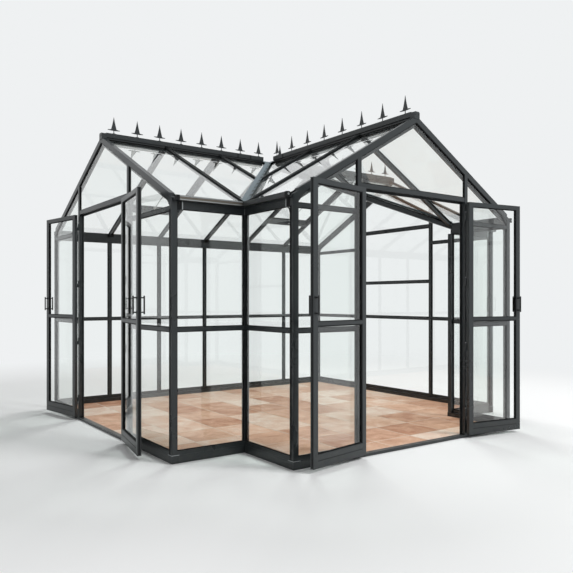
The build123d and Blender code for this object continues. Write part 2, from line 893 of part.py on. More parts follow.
def gutter(slope, stations):
    low, high = stations
    near, far = slope.half + seat, slope.half + gutter_width
    lip = eave_height - gutter_lip_drop
    bottom = lip - gutter_height
    past_glass = slope.half + eave_glass_over + gutter_glass_gap
    back, dip = (roof_level(slope, run, glass_under) - gutter_glass_gap for run in (near, past_glass))
    corners = [(near, bottom), (far, bottom), (far, lip), (past_glass, dip), (near, back)]
    plate(slope_section(slope, low), corners, high - low)
    plate(
        slope_section(slope, low + gutter_wall),
        [
            (near + gutter_wall, bottom + gutter_wall),
            (far - gutter_wall, bottom + gutter_wall),
            (far - gutter_wall, eave_height),
            (near + gutter_wall, eave_height),
        ],
        high - low - 2 * gutter_wall,
        Mode.SUBTRACT,
    )


corner_clear = gutter_width + joint_gap
gutter_end = main_half - gutter_end_gap
with BuildPart() as gutters:
    gutter(back_slope, (-gutter_end, gutter_end))
    gutter(front_slope, (-gutter_end, -wing_half - corner_clear))
    gutter(front_slope, (wing_half + corner_clear, gutter_end))
    gutter(wing_left_slope, (-front_line + gutter_end_gap, -gable_half - joint_gap))
    gutter(wing_right_slope, (gable_half + joint_gap, front_line - gutter_end_gap))
    for side in (-1, 1):
        over_corner = side * (wing_half + gutter_width / 2)
        runs = (gable_half, gable_half + eave_glass_over + gutter_glass_gap)
        drops = (-rafter_depth, glass_under + gutter_glass_gap)
        slope_bar(front_slope, over_corner, gutter_width, runs, drops, Mode.SUBTRACT)


# Gussets in the eave corners of the gables, with a hollow curved edge

with BuildPart() as gable_gussets:
    for wall in (left_gable, front_gable, right_gable):
        slope = gable_roof(wall)
        middle = wall.length / 2
        for side in (-1, 1):
            near, far = middle - post - seat, middle - post - gusset_leg
            corner_z, high_z = (roof_level(slope, run, rafter_depth + seat) for run in (near, far))
            low_z = corner_z - gusset_drop
            hollow_run = near + gusset_hollow[0] * (far - near)
            hollow = (middle + side * hollow_run, corner_z - gusset_hollow[1] * gusset_drop)
            with BuildSketch(elevation(wall, gusset_from_face)) as face:
                with BuildLine():
                    low, high = (middle + side * near, low_z), (middle + side * far, high_z)
                    Polyline(high, (middle + side * near, corner_z), low)
                    ThreePointArc(low, hollow, high)
                make_face()
            extrude(face.sketch, amount=-gusset_thickness)


# Covers over the apexes, which hide the joint of the gable rafters

with BuildPart() as apex_plates:
    for wall in (left_gable, front_gable, right_gable):
        slope = gable_roof(wall)
        middle, depth = wall.length / 2, post + apex_cover_front
        top, bottom = ridge_height + apex_cover_above, ridge_height - apex_cover_below
        with BuildSketch(elevation(wall, -apex_cover_front)) as face:
            with Locations((middle, (top + bottom) / 2)):
                Rectangle(2 * cap_half, top - bottom)
            fillet(face.vertices().group_by(Axis.Y)[-1], apex_cover_rounding)
        extrude(face.sketch, amount=-depth)
        foot = bottom - cap_half
        reach = 2 * cap_half
        roof = [(middle + run, roof_level(slope, abs(run), -seat)) for run in (-reach, 0, reach)]
        under = [(middle - reach, foot), *roof, (middle + reach, foot)]
        plate(elevation(wall, -seat), under, -2 * depth, Mode.SUBTRACT)


# Finials: flat plates cut to a spire over a curved brim, on a thin stem

def finial(slope, station):
    """One finial, standing along the ridge on the cap."""
    base = ridge_height + cap_above_apex
    brim = base + finial_stem
    tip = brim + finial_spire
    half, thin, foot = finial_width / 2, finial_stem_width / 2, finial_spire_width / 2
    along = slope.along
    origin = (along[0] * station, along[1] * station, 0)
    plane = Plane(origin=origin, x_dir=(*along, 0), z_dir=(along[1], -along[0], 0))
    with BuildSketch(plane) as face:
        with Locations((0, (base + brim) / 2)):
            Rectangle(2 * thin, brim - base)
        with BuildLine():
            edge = brim + finial_brim_edge
            ThreePointArc((-half, brim), (0, brim - finial_brim), (half, brim))
            Line((half, brim), (half, edge))
            ThreePointArc((half, edge), (0, edge + finial_brim), (-half, edge))
            Line((-half, edge), (-half, brim))
        make_face()
        with BuildLine():
            waist, waist_height = foot * finial_waist[0], brim + finial_spire * finial_waist[1]
            Line((-foot, brim), (foot, brim))
            ThreePointArc((foot, brim), (waist, waist_height), (0, tip))
            ThreePointArc((0, tip), (-waist, waist_height), (-foot, brim))
        make_face()
    extrude(face.sketch, amount=finial_plate / 2, both=True)


def finial_stations(end):
    """Evenly spaced stations from near a gable back to the crossing."""
    pitch = (end - finial_end_gap - finial_crossing_gap) / (finials_each - 1)
    return [finial_crossing_gap + k * pitch for k in range(finials_each)]


with BuildPart() as ridge_finials:
    for station in finial_stations(main_half):
        finial(back_slope, station)
        finial(back_slope, -station)
    for station in finial_stations(front_line):
        finial(wing_right_slope, station)


# Wall glass

with BuildPart() as gable_glass:
    pane_solids(gable_wall_panes, 0, Mode.ADD)

with BuildPart() as back_wall_glass:
    pane_solids(back_panes, 0, Mode.ADD)

with BuildPart() as front_short_wall_glass:
    pane_solids(short_panes, 0, Mode.ADD)


# Door leaves. Each has its own frame: x from the hinge axis along the leaf, y through it, z up.

Leaf = namedtuple("Leaf", "name wall side opened")
leaves = (
    Leaf("front_door_left_leaf", front_gable, -1, front_left_open),
    Leaf("front_door_right_leaf", front_gable, 1, front_right_open),
    Leaf("side_door_near_leaf", left_gable, 1, side_near_open),
    Leaf("side_door_far_leaf", left_gable, -1, side_far_open),
)
hinge_levels = [
    leaf_bottom + hinge_end + k * (leaf_top - leaf_bottom - 2 * hinge_end) / (hinge_count - 1)
    for k in range(hinge_count)
]


def hinge_point(leaf):
    """The foot of a leaf's axis, which stands a little outside the wall's face."""
    centre = leaf.wall.length / 2 + leaf.side * hinge_half
    return plan_frame(leaf.wall).from_local_coords((centre, -hinge_axis_out, 0))


def leaf_frame(leaf):
    """The leaf's frame where it stands, opened from its wall."""
    closed = degrees(atan2(leaf.wall.heading[1], leaf.wall.heading[0])) + 90 * (1 + leaf.side)
    angle = radians(closed + leaf.side * leaf.opened)
    return Plane(origin=hinge_point(leaf), x_dir=(cos(angle), sin(angle), 0), z_dir=(0, 0, 1))


def leaf_block(leaf, x, depths, z, mode=Mode.ADD):
    """A block of a leaf, between two depths behind its outer face."""
    y = sorted(-leaf.side * (hinge_axis_out + depth) for depth in depths)
    block(leaf_frame(leaf), x, y, z, mode)


leaf_end = leaf_edge_gap + leaf_width
leaf_rail_height = mid_rail_height + leaf_rail_above_mid_rail
leaf_rails = (
    (leaf_bottom, leaf_bottom + leaf_bottom_rail),
    (leaf_rail_height - half_rail, leaf_rail_height + half_rail),
    (leaf_top - leaf_top_rail, leaf_top),
)
stile_inner = (leaf_edge_gap + leaf_stile, leaf_end - leaf_stile)


def leaf_glass_blocks(leaf, grow, mode):
    """The leaf's two panes, or their slots when grown by their clearance."""
    x = (stile_inner[0] - glass_bite - grow, stile_inner[1] + glass_bite + grow)
    middle, half = leaf_depth / 2, glass_thickness / 2 + grow
    for below, above in zip(leaf_rails, leaf_rails[1:]):
        z = (below[1] - glass_bite - grow, above[0] + glass_bite + grow)
        leaf_block(leaf, x, (middle - half, middle + half), z, mode)


def knuckle(frame, low):
    with BuildSketch(frame.offset(low)) as face:
        Circle(knuckle_radius)
    extrude(face.sketch, amount=knuckle_length)


def pull_handle(leaf, side):
    """A straight pull on two stems: side -1 is the leaf's outer face, 1 its inner face."""
    handle_x = leaf_end - leaf_stile / 2
    face_depth = 0 if side < 0 else leaf_depth
    frame = leaf_frame(leaf)
    grip_y = -leaf.side * (hinge_axis_out + face_depth + side * handle_standoff)
    with BuildSketch(frame.offset(handle_height - handle_length / 2)) as grip:
        with Locations((handle_x, grip_y)):
            Circle(handle_radius)
    extrude(grip.sketch, amount=handle_length)
    stem_y = -leaf.side * (hinge_axis_out + face_depth)
    outwards = frame.y_dir * (-leaf.side * side)
    for end in (-1, 1):
        level = handle_height + end * (handle_length / 2 - 2 * handle_radius)
        foot_point = frame.from_local_coords((handle_x, stem_y, level))
        with BuildSketch(Plane(origin=foot_point, x_dir=frame.x_dir, z_dir=outwards)) as foot:
            Circle(handle_stem_radius)
        extrude(foot.sketch, amount=handle_standoff - handle_radius / 2)


finished = {}
for leaf in leaves:
    with BuildPart() as leaf_bars:
        leaf_block(leaf, (leaf_edge_gap, stile_inner[0]), (0, leaf_depth), (leaf_bottom, leaf_top))
        leaf_block(leaf, (stile_inner[1], leaf_end), (0, leaf_depth), (leaf_bottom, leaf_top))
        for level in leaf_rails:
            leaf_block(leaf, (stile_inner[0] + seat, stile_inner[1] - seat), (0, leaf_depth), level)
        for level in hinge_levels:
            knuckle(leaf_frame(leaf), level)
            leaf_block(leaf, hinge_flap, (-hinge_axis_out, seat), (level, level + knuckle_length))
        leaf_glass_blocks(leaf, seat, Mode.SUBTRACT)
    finished[leaf.name + "_frame"] = leaf_bars
    with BuildPart() as leaf_glass:
        leaf_glass_blocks(leaf, 0, Mode.ADD)
    finished[leaf.name + "_glass"] = leaf_glass
    with BuildPart() as leaf_handles:
        pull_handle(leaf, -1)
        pull_handle(leaf, 1)
    finished[leaf.name + "_handles"] = leaf_handles

with BuildPart() as door_hinges:
    for leaf in leaves:
        axis = Plane(origin=hinge_point(leaf), x_dir=plan_frame(leaf.wall).x_dir, z_dir=(0, 0, 1))
        flap = sorted(leaf.side * x for x in hinge_flap)
        for level in hinge_levels:
            low = level + knuckle_length + knuckle_gap
            knuckle(axis, low)
            block(axis, flap, (0, hinge_axis_out - seat), (low, low + knuckle_length))


# Writing the parts

finished.update(
    floor=floor,
    base_plinth=base_plinth,
    door_thresholds=door_thresholds,
    corner_posts=corner_posts,
    back_wall_mullions=back_wall_mullions,
    door_jambs=door_jambs,
    right_gable_mullions=right_gable_mullions,
    bottom_rails=bottom_rails,
    middle_rails=middle_rails,
    gable_head_rails=gable_head_rails,
    eave_beams=eave_beams,
    ridge_beams=ridge_beams,
    back_rafters=back_rafters,
    front_rafters=front_rafters,
    wing_rafters=wing_rafters,
    gable_rafters=gable_rafters,
    valley_bars=valley_bars,
    back_roof_glass=back_roof_glass,
    front_roof_glass=front_roof_glass,
    wing_roof_glass=wing_roof_glass,
    roof_vent_frames=roof_vent_frames,
    roof_vent_glass=roof_vent_glass,
    ridge_caps=ridge_caps,
    valley_plates=valley_plates,
    gutters=gutters,
    gable_gussets=gable_gussets,
    apex_plates=apex_plates,
    ridge_finials=ridge_finials,
    gable_glass=gable_glass,
    back_wall_glass=back_wall_glass,
    front_short_wall_glass=front_short_wall_glass,
    door_hinges=door_hinges,
)

os.makedirs("parts", exist_ok=True)
for name, builder in finished.items():
    builder.part.label = name
    export_step(builder.part, f"parts/{name}.step")
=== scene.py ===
import json
from collections import namedtuple
from math import atan, cos, radians, sin

import bmesh
import bpy
from bpy.props import FloatProperty, FloatVectorProperty, PointerProperty
from mathutils import Matrix, Vector


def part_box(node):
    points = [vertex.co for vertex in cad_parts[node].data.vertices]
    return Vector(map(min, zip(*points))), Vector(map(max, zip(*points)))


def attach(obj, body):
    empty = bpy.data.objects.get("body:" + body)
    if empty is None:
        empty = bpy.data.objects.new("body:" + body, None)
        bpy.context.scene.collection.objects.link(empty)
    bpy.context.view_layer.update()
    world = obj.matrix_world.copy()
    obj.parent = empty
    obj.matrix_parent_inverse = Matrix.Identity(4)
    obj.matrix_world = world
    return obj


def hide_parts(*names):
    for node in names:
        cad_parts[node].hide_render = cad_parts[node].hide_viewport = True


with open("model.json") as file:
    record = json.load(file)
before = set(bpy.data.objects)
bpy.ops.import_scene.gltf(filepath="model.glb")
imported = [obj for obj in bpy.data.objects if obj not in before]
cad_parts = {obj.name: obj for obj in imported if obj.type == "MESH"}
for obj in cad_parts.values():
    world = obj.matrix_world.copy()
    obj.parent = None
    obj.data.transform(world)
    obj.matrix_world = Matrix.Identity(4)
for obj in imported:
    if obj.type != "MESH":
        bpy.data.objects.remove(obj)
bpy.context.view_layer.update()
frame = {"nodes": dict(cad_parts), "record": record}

bl_info = {
    "name": "Glass Greenhouse",
    "version": (1, 0, 0),
    "blender": (4, 5, 0),
    "location": "3D View > Sidebar > Greenhouse",
    "description": "Dresses the packed greenhouse with finishes, tiles, gaskets and ironmongery",
    "category": "Object",
}

# Lines of the house in metres, as the part's source has them
posts_low, posts_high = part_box("corner_posts")
floor_low, floor_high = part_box("floor")
MAIN_HALF, GABLE_HALF, FRONT_LINE = posts_high.x, posts_high.y, -posts_low.y
PLINTH_TOP, POST_TOP = posts_low.z, posts_high.z
BAY = MAIN_HALF / 3
WING_HALF = 2 * BAY
EAVE, RIDGE = 1.898, 2.608
POST = 0.042
CAP_HALF, CAP_FOOT, CAP_SHOULDER, CAP_TOP = 0.030, 2.604, 2.644, 2.650
GUTTER_FRONT, GUTTER_BOTTOM, GUTTER_LIP = 0.046, 1.857, 1.893
FLUTE_LEVELS = (1.8105, 1.8245, 1.8385)
GLASS_BITE = 0.008
# The floor stops this far inside the walls' outer faces, and its tiles are set out from its front edge
FLOOR_INSET = MAIN_HALF - floor_high.x
TILE_ROW_START = -(GABLE_HALF - FLOOR_INSET)
# A doorway's seals reach in from its sides, and lie behind the wall's face
DOORWAY_HALF, SEAL_REACH, SEAL_DEPTH = 0.592, 0.0165, 0.0350
# A leaf's axis stands outside its face, and rubber beads run along its two lower rails
LEAF_END, LEAF_STILE, LEAF_DEPTH, HINGE_AXIS_OUT = 0.587, 0.044, 0.030, 0.008
RAIL_BEADS = ((0.0765, 0.0800), (0.9820, 0.9850))
HINGE_LEVELS, FIXED_KNUCKLE_TOP = (0.178, 0.7273, 1.2767, 1.826), 0.0685
HANDLE_LEVEL, HANDLE_HALF, HANDLE_STEM, HANDLE_STANDOFF = 1.120, 0.065, 0.053, 0.026
# Along the ridges from their crossing
CAP_STRAPS, WING_CAP_STRAP = (-0.408, -0.256, 0.256, 0.408), -0.277
FINIALS_EACH, FINIAL_CROSSING_GAP, FINIAL_END_GAP = 8, 0.138, 0.120
# Along a wall from its outer corner: where a gutter's end cap starts and stops, and where an eave
# connector and its edge stop
GUTTER_END, GUTTER_CAP_END, CONNECTOR_END, CONNECTOR_EDGE = 0.0108, 0.040, 0.079, 0.087

HOUSE = "greenhouse"
Wall = namedtuple("Wall", "corner heading length")
Slope = namedtuple("Slope", "down along half")
Leaf = namedtuple("Leaf", "name hinge side opened closed")

LEFT_GABLE = Wall((-MAIN_HALF, GABLE_HALF), (0, -1), 2 * GABLE_HALF)
LEFT_SHORT = Wall((-MAIN_HALF, -GABLE_HALF), (1, 0), MAIN_HALF - WING_HALF)
LEFT_WING = Wall((-WING_HALF, -GABLE_HALF), (0, -1), FRONT_LINE - GABLE_HALF)
FRONT_GABLE = Wall((-WING_HALF, -FRONT_LINE), (1, 0), 2 * WING_HALF)
RIGHT_WING = Wall((WING_HALF, -FRONT_LINE), (0, 1), FRONT_LINE - GABLE_HALF)
RIGHT_SHORT = Wall((WING_HALF, -GABLE_HALF), (1, 0), MAIN_HALF - WING_HALF)
RIGHT_GABLE = Wall((MAIN_HALF, -GABLE_HALF), (0, 1), 2 * GABLE_HALF)
BACK_WALL = Wall((MAIN_HALF, GABLE_HALF), (-1, 0), 2 * MAIN_HALF)

# Walls with a gutter, and whether each starts and ends at an outer corner
GUTTERED = (
    (LEFT_SHORT, True, False), (LEFT_WING, False, True), (RIGHT_WING, True, False), (RIGHT_SHORT, False, True),
    (BACK_WALL, True, True),
)

BACK_SLOPE = Slope((0, 1), (1, 0), GABLE_HALF)
FRONT_SLOPE = Slope((0, -1), (-1, 0), GABLE_HALF)
WING_LEFT_SLOPE = Slope((-1, 0), (0, 1), WING_HALF)
WING_RIGHT_SLOPE = Slope((1, 0), (0, -1), WING_HALF)

LEAVES = (
    Leaf("front_door_left_leaf", (-0.591, -2.028), -1, 170.0, 0.0),
    Leaf("front_door_right_leaf", (0.591, -2.028), 1, 171.0, 180.0),
    Leaf("side_door_near_leaf", (-1.838, -0.591), 1, 169.5, 90.0),
    Leaf("side_door_far_leaf", (-1.838, 0.591), -1, 169.5, -90.0),
)


def wall_frame(wall):
    """A wall's own frame: x along it, y inwards from its outer face, z up."""
    (hx, hy), (cx, cy) = wall.heading, wall.corner
    return Matrix(((hx, -hy, 0, cx), (hy, hx, 0, cy), (0, 0, 1, 0), (0, 0, 0, 1)))


def outer_ends(wall, starts, ends):
    """The outer corners of a wall, each with the way that runs inwards from it along the wall."""
    return [end for end, wanted in (((0, 1), starts), ((wall.length, -1), ends)) if wanted]


def span(origin, side, start, end):
    """Two places along a wall on one side of an origin, the lower one first."""
    return sorted((origin + side * start, origin + side * end))


def slope_pitch(slope):
    return atan((RIDGE - EAVE) / slope.half)


def slope_frame(slope, station):
    """A slope's own frame at a station of its ridge: x along the ridge, y down the slope, z off the roof."""
    (dx, dy), (ax, ay) = slope.down, slope.along
    lean, level = sin(slope_pitch(slope)), cos(slope_pitch(slope))
    return Matrix(
        (
            (ax, dx * level, dx * lean, ax * station),
            (ay, dy * level, dy * lean, ay * station),
            (0, -lean, level, RIDGE),
            (0, 0, 0, 1),
        )
    )


def leaf_frame(leaf):
    """A leaf's own frame as it stands: x from its axis along it, y behind its outer face, z up."""
    turned = Matrix.Rotation(radians(leaf.closed + leaf.side * leaf.opened), 4, "Z")
    flipped = Matrix.Diagonal((1, -leaf.side, 1, 1))
    return Matrix.Translation((*leaf.hinge, 0)) @ turned @ flipped @ Matrix.Translation((0, HINGE_AXIS_OUT, 0))


def facing(point, direction):
    """A frame at a point whose z looks along a direction."""
    return Matrix.Translation(point) @ Vector(direction).to_track_quat("Z", "Y").to_matrix().to_4x4()


def linear(hex_colour):
    """An sRGB hex colour as the linear values that Blender's sockets take."""
    channels = [int(hex_colour[i : i + 2], 16) / 255 for i in (1, 3, 5)]
    return [c / 12.92 if c <= 0.04045 else ((c + 0.055) / 1.055) ** 2.4 for c in channels]


# Settings that a user would change

def colour(name, description, hex_colour):
    return FloatVectorProperty(name=name, description=description, subtype="COLOR", default=linear(hex_colour))


def length(name, description, metres):
    return FloatProperty(name=name, description=description, subtype="DISTANCE", unit="LENGTH", default=metres)


class GreenhouseColours(bpy.types.PropertyGroup):
    frame: colour("Frame", "Powder coat on the bars", "#23282a")
    dust: colour("Dust", "Dry splash marks low on the bars", "#6f685a")
    glass: colour("Glass", "Tint of the panes", "#fbfdfc")
    rubber: colour("Rubber", "Glazing gaskets and seals", "#0f1011")
    plate: colour("Valley plates", "Coated sheet in the valleys", "#56646b")
    gutter: colour("Gutter", "Powder coat on the gutters", "#2a2d2e")
    # Pale metal of the threshold ribs; on the two front gutters the same colour is a painted reflection
    bare_metal_and_painted_reflection: colour("Bare metal and painted gutter reflection", "Threshold ribs, and the pale face painted on the front gutters as reflection", "#78726a")
    ironmongery: colour("Ironmongery", "Black coating on handles", "#121415")
    zinc: colour("Fixings", "Plated screws and feet", "#a9adae")
    tile_light: colour("Tile, light", "Palest tone of the fired clay", "#efdccb")
    tile_middle: colour("Tile, middle", "Common tone of the fired clay", "#dcb397")
    tile_dark: colour("Tile, dark", "Deepest tone of the fired clay", "#b57f61")
    grout: colour("Grout", "Cement between the tiles", "#e6dacb")
    ground: colour("Studio floor", "Painted floor under the greenhouse", "#f3f4f4")
    backdrop: colour("Backdrop", "Pale tone behind the greenhouse", "#eff1f2")


class GreenhouseSizes(bpy.types.PropertyGroup):
    tile: length("Tile", "Side of one floor tile with its joint", 0.4)
    # A real joint is about 5 mm wide, and is drawn at 9 mm so that it shows
    grout: length("Grout", "Width of a joint between tiles", 0.009)
    gasket: length("Gasket", "Width of the rubber seen round a pane", 0.006)
    post_strip: length("Post strip", "Width of the black strips on the corner posts", 0.020)
    fixing_pitch: length("Fixing pitch", "Distance between the screws of a valley plate", 0.15)


# Materials

def add(tree, kind, inputs=None, links=None, **settings):
    """Adds a node with its settings, its input values and the sockets that feed it."""
    made = tree.nodes.new("ShaderNode" + kind)
    for name, value in settings.items():
        setattr(made, name, value)
    for name, value in (inputs or {}).items():
        made.inputs[name].default_value = value
    for name, source in (links or {}).items():
        tree.links.new(source, made.inputs[name])
    return made


def rgba(colour):
    return (*colour, 1.0)


def new_material(name):
    material = bpy.data.materials.new(name)
    material.use_nodes = True
    material.node_tree.nodes.clear()
    return material, material.node_tree


def finish_material(material, tree, surface):
    add(tree, "OutputMaterial", links={"Surface": surface})
    return material


def noise(tree, place, scale, detail, roughness=0.5, distortion=0.0):
    """A cloudy value, in patches about 1 / scale metres across."""
    inputs = {"Scale": scale, "Detail": detail, "Roughness": roughness, "Distortion": distortion}
    return add(tree, "TexNoise", inputs, {"Vector": place}).outputs["Fac"]


def spread(tree, value, start, end, low=0.0, high=1.0, **settings):
    """A value taken from the range between start and end to the one between low and high."""
    limits = {"From Min": start, "From Max": end, "To Min": low, "To Max": high}
    return add(tree, "MapRange", limits, {"Value": value}, **settings).outputs["Result"]


def toned(tree, colour, shade):
    """A colour made darker below 1 and lighter above it."""
    return add(
        tree, "Mix", {0: 1.0, 6: rgba(colour)}, {7: shade}, data_type="RGBA", blend_type="MULTIPLY"
    ).outputs[2]


def powder_coat(name, colour, roughness=0.31, dusty=0.07):
    """Polyester powder baked on aluminium: an even satin skin, faintly rippled, with dry splash marks low down."""
    material, tree = new_material(name)
    place = add(tree, "TexCoord").outputs["Object"]
    # The ripple is about 1 mm across on the real coat, and is drawn at 6 mm so that it shows
    peel = noise(tree, place, 160.0, 2.0)
    # The tone drifts over about 450 mm. Splash marks are about 40 mm across, and fade out 350 mm up.
    drift = noise(tree, place, 2.2, 4.0)
    marks = noise(tree, place, 24.0, 5.0, roughness=0.65)
    tinted = toned(tree, colour, spread(tree, drift, 0.3, 0.7, 0.86, 1.16))
    height = add(tree, "SeparateXYZ", links={"Vector": place}).outputs["Z"]
    low_down = spread(tree, height, 0.35, 0.0, 0.0, dusty)
    spots = spread(tree, marks, 0.42, 0.62)
    dirty = add(tree, "Math", links={0: low_down, 1: spots}, operation="MULTIPLY").outputs["Value"]
    worn = add(
        tree, "Mix", {7: rgba(settings().colours.dust)}, {0: dirty, 6: tinted}, data_type="RGBA"
    ).outputs[2]
    sheen = spread(tree, drift, 0.3, 0.7, roughness - 0.06, roughness + 0.08)
    bump = add(tree, "Bump", {"Strength": 0.1, "Distance": 0.0006}, {"Height": peel})
    shader = add(
        tree, "BsdfPrincipled", {"Metallic": 0.0, "Specular IOR Level": 0.5},
        {"Base Color": worn, "Roughness": sheen, "Normal": bump.outputs["Normal"]},
    )
    return finish_material(material, tree, shader.outputs["BSDF"])


def moulded_rubber(name, colour):
    """Extruded EPDM rubber: dull black with a fine drawn grain and a grey bloom."""
    material, tree = new_material(name)
    place = add(tree, "TexCoord").outputs["Object"]
    # The bloom gathers in patches of about 30 mm
    bloom = noise(tree, place, 33.0, 4.0)
    tone = toned(tree, colour, spread(tree, bloom, 0.35, 0.75, 0.8, 1.5))
    bump = add(tree, "Bump", {"Strength": 0.15, "Distance": 0.0004}, {"Height": bloom})
    shader = add(
        tree, "BsdfPrincipled", {"Roughness": 0.68, "Metallic": 0.0, "Specular IOR Level": 0.3},
        {"Base Color": tone, "Normal": bump.outputs["Normal"]},
    )
    return finish_material(material, tree, shader.outputs["BSDF"])


def plated_metal(name, colour, roughness):
    """Zinc-plated steel, bare aluminium, and the reflection painted on the front gutters: a soft metal gloss broken by
    fine draw lines and dulled patches.
    """
    material, tree = new_material(name)
    place = add(tree, "TexCoord").outputs["Object"]
    # Draw lines are far under 1 mm apart, and are drawn at 4 mm so that they show
    lines = noise(tree, place, 250.0, 2.0)
    # Dulled patches are about 70 mm across
    gloss = spread(tree, noise(tree, place, 14.0, 4.0), 0.3, 0.7, roughness - 0.08, roughness + 0.12)
    bump = add(tree, "Bump", {"Strength": 0.1, "Distance": 0.0003}, {"Height": lines})
    shader = add(
        tree, "BsdfPrincipled", {"Base Color": rgba(colour), "Metallic": 1.0},
        {"Roughness": gloss, "Normal": bump.outputs["Normal"]},
    )
    return finish_material(material, tree, shader.outputs["BSDF"])


def float_glass(name, colour):
    """Clear toughened float glass: colourless face on, with crisp reflections of the pale room on both faces."""
    material, tree = new_material(name)
    shader = add(
        tree, "BsdfPrincipled",
        {"Base Color": rgba(colour), "Roughness": 0.0, "IOR": 1.45, "Transmission Weight": 1.0, "Metallic": 0.0},
    )
    clear = add(tree, "BsdfTransparent", {"Color": rgba(colour)})
    path = add(tree, "LightPath")
    mixed = add(
        tree, "MixShader",
        links={0: path.outputs["Is Shadow Ray"], 1: shader.outputs["BSDF"], 2: clear.outputs["BSDF"]},
    )
    return finish_material(material, tree, mixed.outputs["Shader"])


def fired_clay(name):
    """Unglazed terracotta: each tile its own tone, clouded by the kiln, with a dry, slightly pitted face."""
    material, tree = new_material(name)
    colours, side = settings().colours, settings().sizes.tile
    place = add(tree, "TexCoord").outputs["Object"]
    # Cells are whole tiles, counted from the tiles' own grid
    shifted = add(
        tree, "VectorMath", {1: (side / 2, -TILE_ROW_START, 0.0)}, {0: place}, operation="ADD"
    ).outputs["Vector"]
    cell = add(tree, "VectorMath", {1: (1 / side, 1 / side, 0.0)}, {0: shifted}, operation="MULTIPLY")
    whole = add(tree, "VectorMath", links={0: cell.outputs["Vector"]}, operation="FLOOR").outputs["Vector"]
    tone = add(tree, "TexWhiteNoise", links={"Vector": whole}, noise_dimensions="3D").outputs["Value"]
    apart = add(tree, "VectorMath", {1: (3.7, 5.3, 0.0)}, {0: whole}, operation="MULTIPLY").outputs["Vector"]
    own = add(tree, "VectorMath", links={0: place, 1: apart}, operation="ADD").outputs["Vector"]
    # Kiln flashing runs over 150 to 250 mm, and stops at each tile's edge
    cloud = noise(tree, own, 5.5, 6.0, roughness=0.62, distortion=0.6)
    share = add(tree, "Math", {1: 0.55}, {0: tone}, operation="MULTIPLY").outputs["Value"]
    mixed = add(tree, "Math", links={0: share, 1: cloud}, operation="ADD").outputs["Value"]
    ramp = add(tree, "ValToRGB", links={"Fac": spread(tree, mixed, 0.42, 1.12)})
    ramp.color_ramp.elements[0].color = rgba(colours.tile_dark)
    ramp.color_ramp.elements[1].color = rgba(colours.tile_light)
    ramp.color_ramp.elements.new(0.5).color = rgba(colours.tile_middle)
    # Grog specks are 2 to 4 mm across in real clay, and are drawn at 8 mm so that they show
    grain = noise(tree, place, 120.0, 4.0)
    specks = spread(tree, grain, 0.3, 0.7, 0.9, 1.08)
    tinted = add(
        tree, "Mix", {0: 1.0}, {6: ramp.outputs["Color"], 7: specks}, data_type="RGBA", blend_type="MULTIPLY"
    ).outputs[2]
    bump = add(tree, "Bump", {"Strength": 0.3, "Distance": 0.0015}, {"Height": grain})
    dry = spread(tree, cloud, 0.0, 1.0, 0.5, 0.72)
    shader = add(
        tree, "BsdfPrincipled", {"Metallic": 0.0, "Specular IOR Level": 0.4},
        {"Base Color": tinted, "Normal": bump.outputs["Normal"], "Roughness": dry},
    )
    return finish_material(material, tree, shader.outputs["BSDF"])


def cement(name, colour):
    """Sanded cement grout: matt, with grains of sand and darker damp patches."""
    material, tree = new_material(name)
    place = add(tree, "TexCoord").outputs["Object"]
    # Sand is under 1 mm across in real grout, and is drawn at 3 mm so that it shows
    sand = noise(tree, place, 300.0, 3.0)
    # Damp patches are about 330 mm across
    tone = toned(tree, colour, spread(tree, noise(tree, place, 3.0, 4.0), 0.3, 0.7, 0.8, 1.05))
    bump = add(tree, "Bump", {"Strength": 0.3, "Distance": 0.0008}, {"Height": sand})
    shader = add(
        tree, "BsdfPrincipled", {"Roughness": 0.85, "Metallic": 0.0},
        {"Base Color": tone, "Normal": bump.outputs["Normal"]},
    )
    return finish_material(material, tree, shader.outputs["BSDF"])


def looked_at(tree):
    """1 for the rays that show a surface to the eye, straight on, in a reflection or through glass."""
    path = add(tree, "LightPath")
    both = add(
        tree, "Math", links={0: path.outputs["Is Camera Ray"], 1: path.outputs["Is Glossy Ray"]}, operation="MAXIMUM"
    )
    every = add(
        tree, "Math", links={0: both.outputs["Value"], 1: path.outputs["Is Transmission Ray"]}, operation="MAXIMUM"
    )
    return every.outputs["Value"]


def studio_paint(name):
    """Matt studio floor paint that runs out into the backdrop's tone between 3.2 m and 7 m away."""
    material, tree = new_material(name)
    colours = settings().colours
    place = add(tree, "TexCoord").outputs["Object"]
    away = add(tree, "VectorMath", links={0: place}, operation="LENGTH").outputs["Value"]
    far = spread(tree, away, 3.2, 7.0, interpolation_type="SMOOTHSTEP")
    shown = add(tree, "Math", links={0: far, 1: looked_at(tree)}, operation="MULTIPLY").outputs["Value"]
    matt = add(
        tree, "BsdfPrincipled", {"Base Color": rgba(colours.ground), "Roughness": 0.8, "Specular IOR Level": 0.2}
    )
    glow = add(tree, "Emission", {"Color": rgba(colours.backdrop), "Strength": 1.0})
    mixed = add(tree, "MixShader", links={0: shown, 1: matt.outputs["BSDF"], 2: glow.outputs["Emission"]})
    return finish_material(material, tree, mixed.outputs["Shader"])


def settings():
    return bpy.context.scene.greenhouse


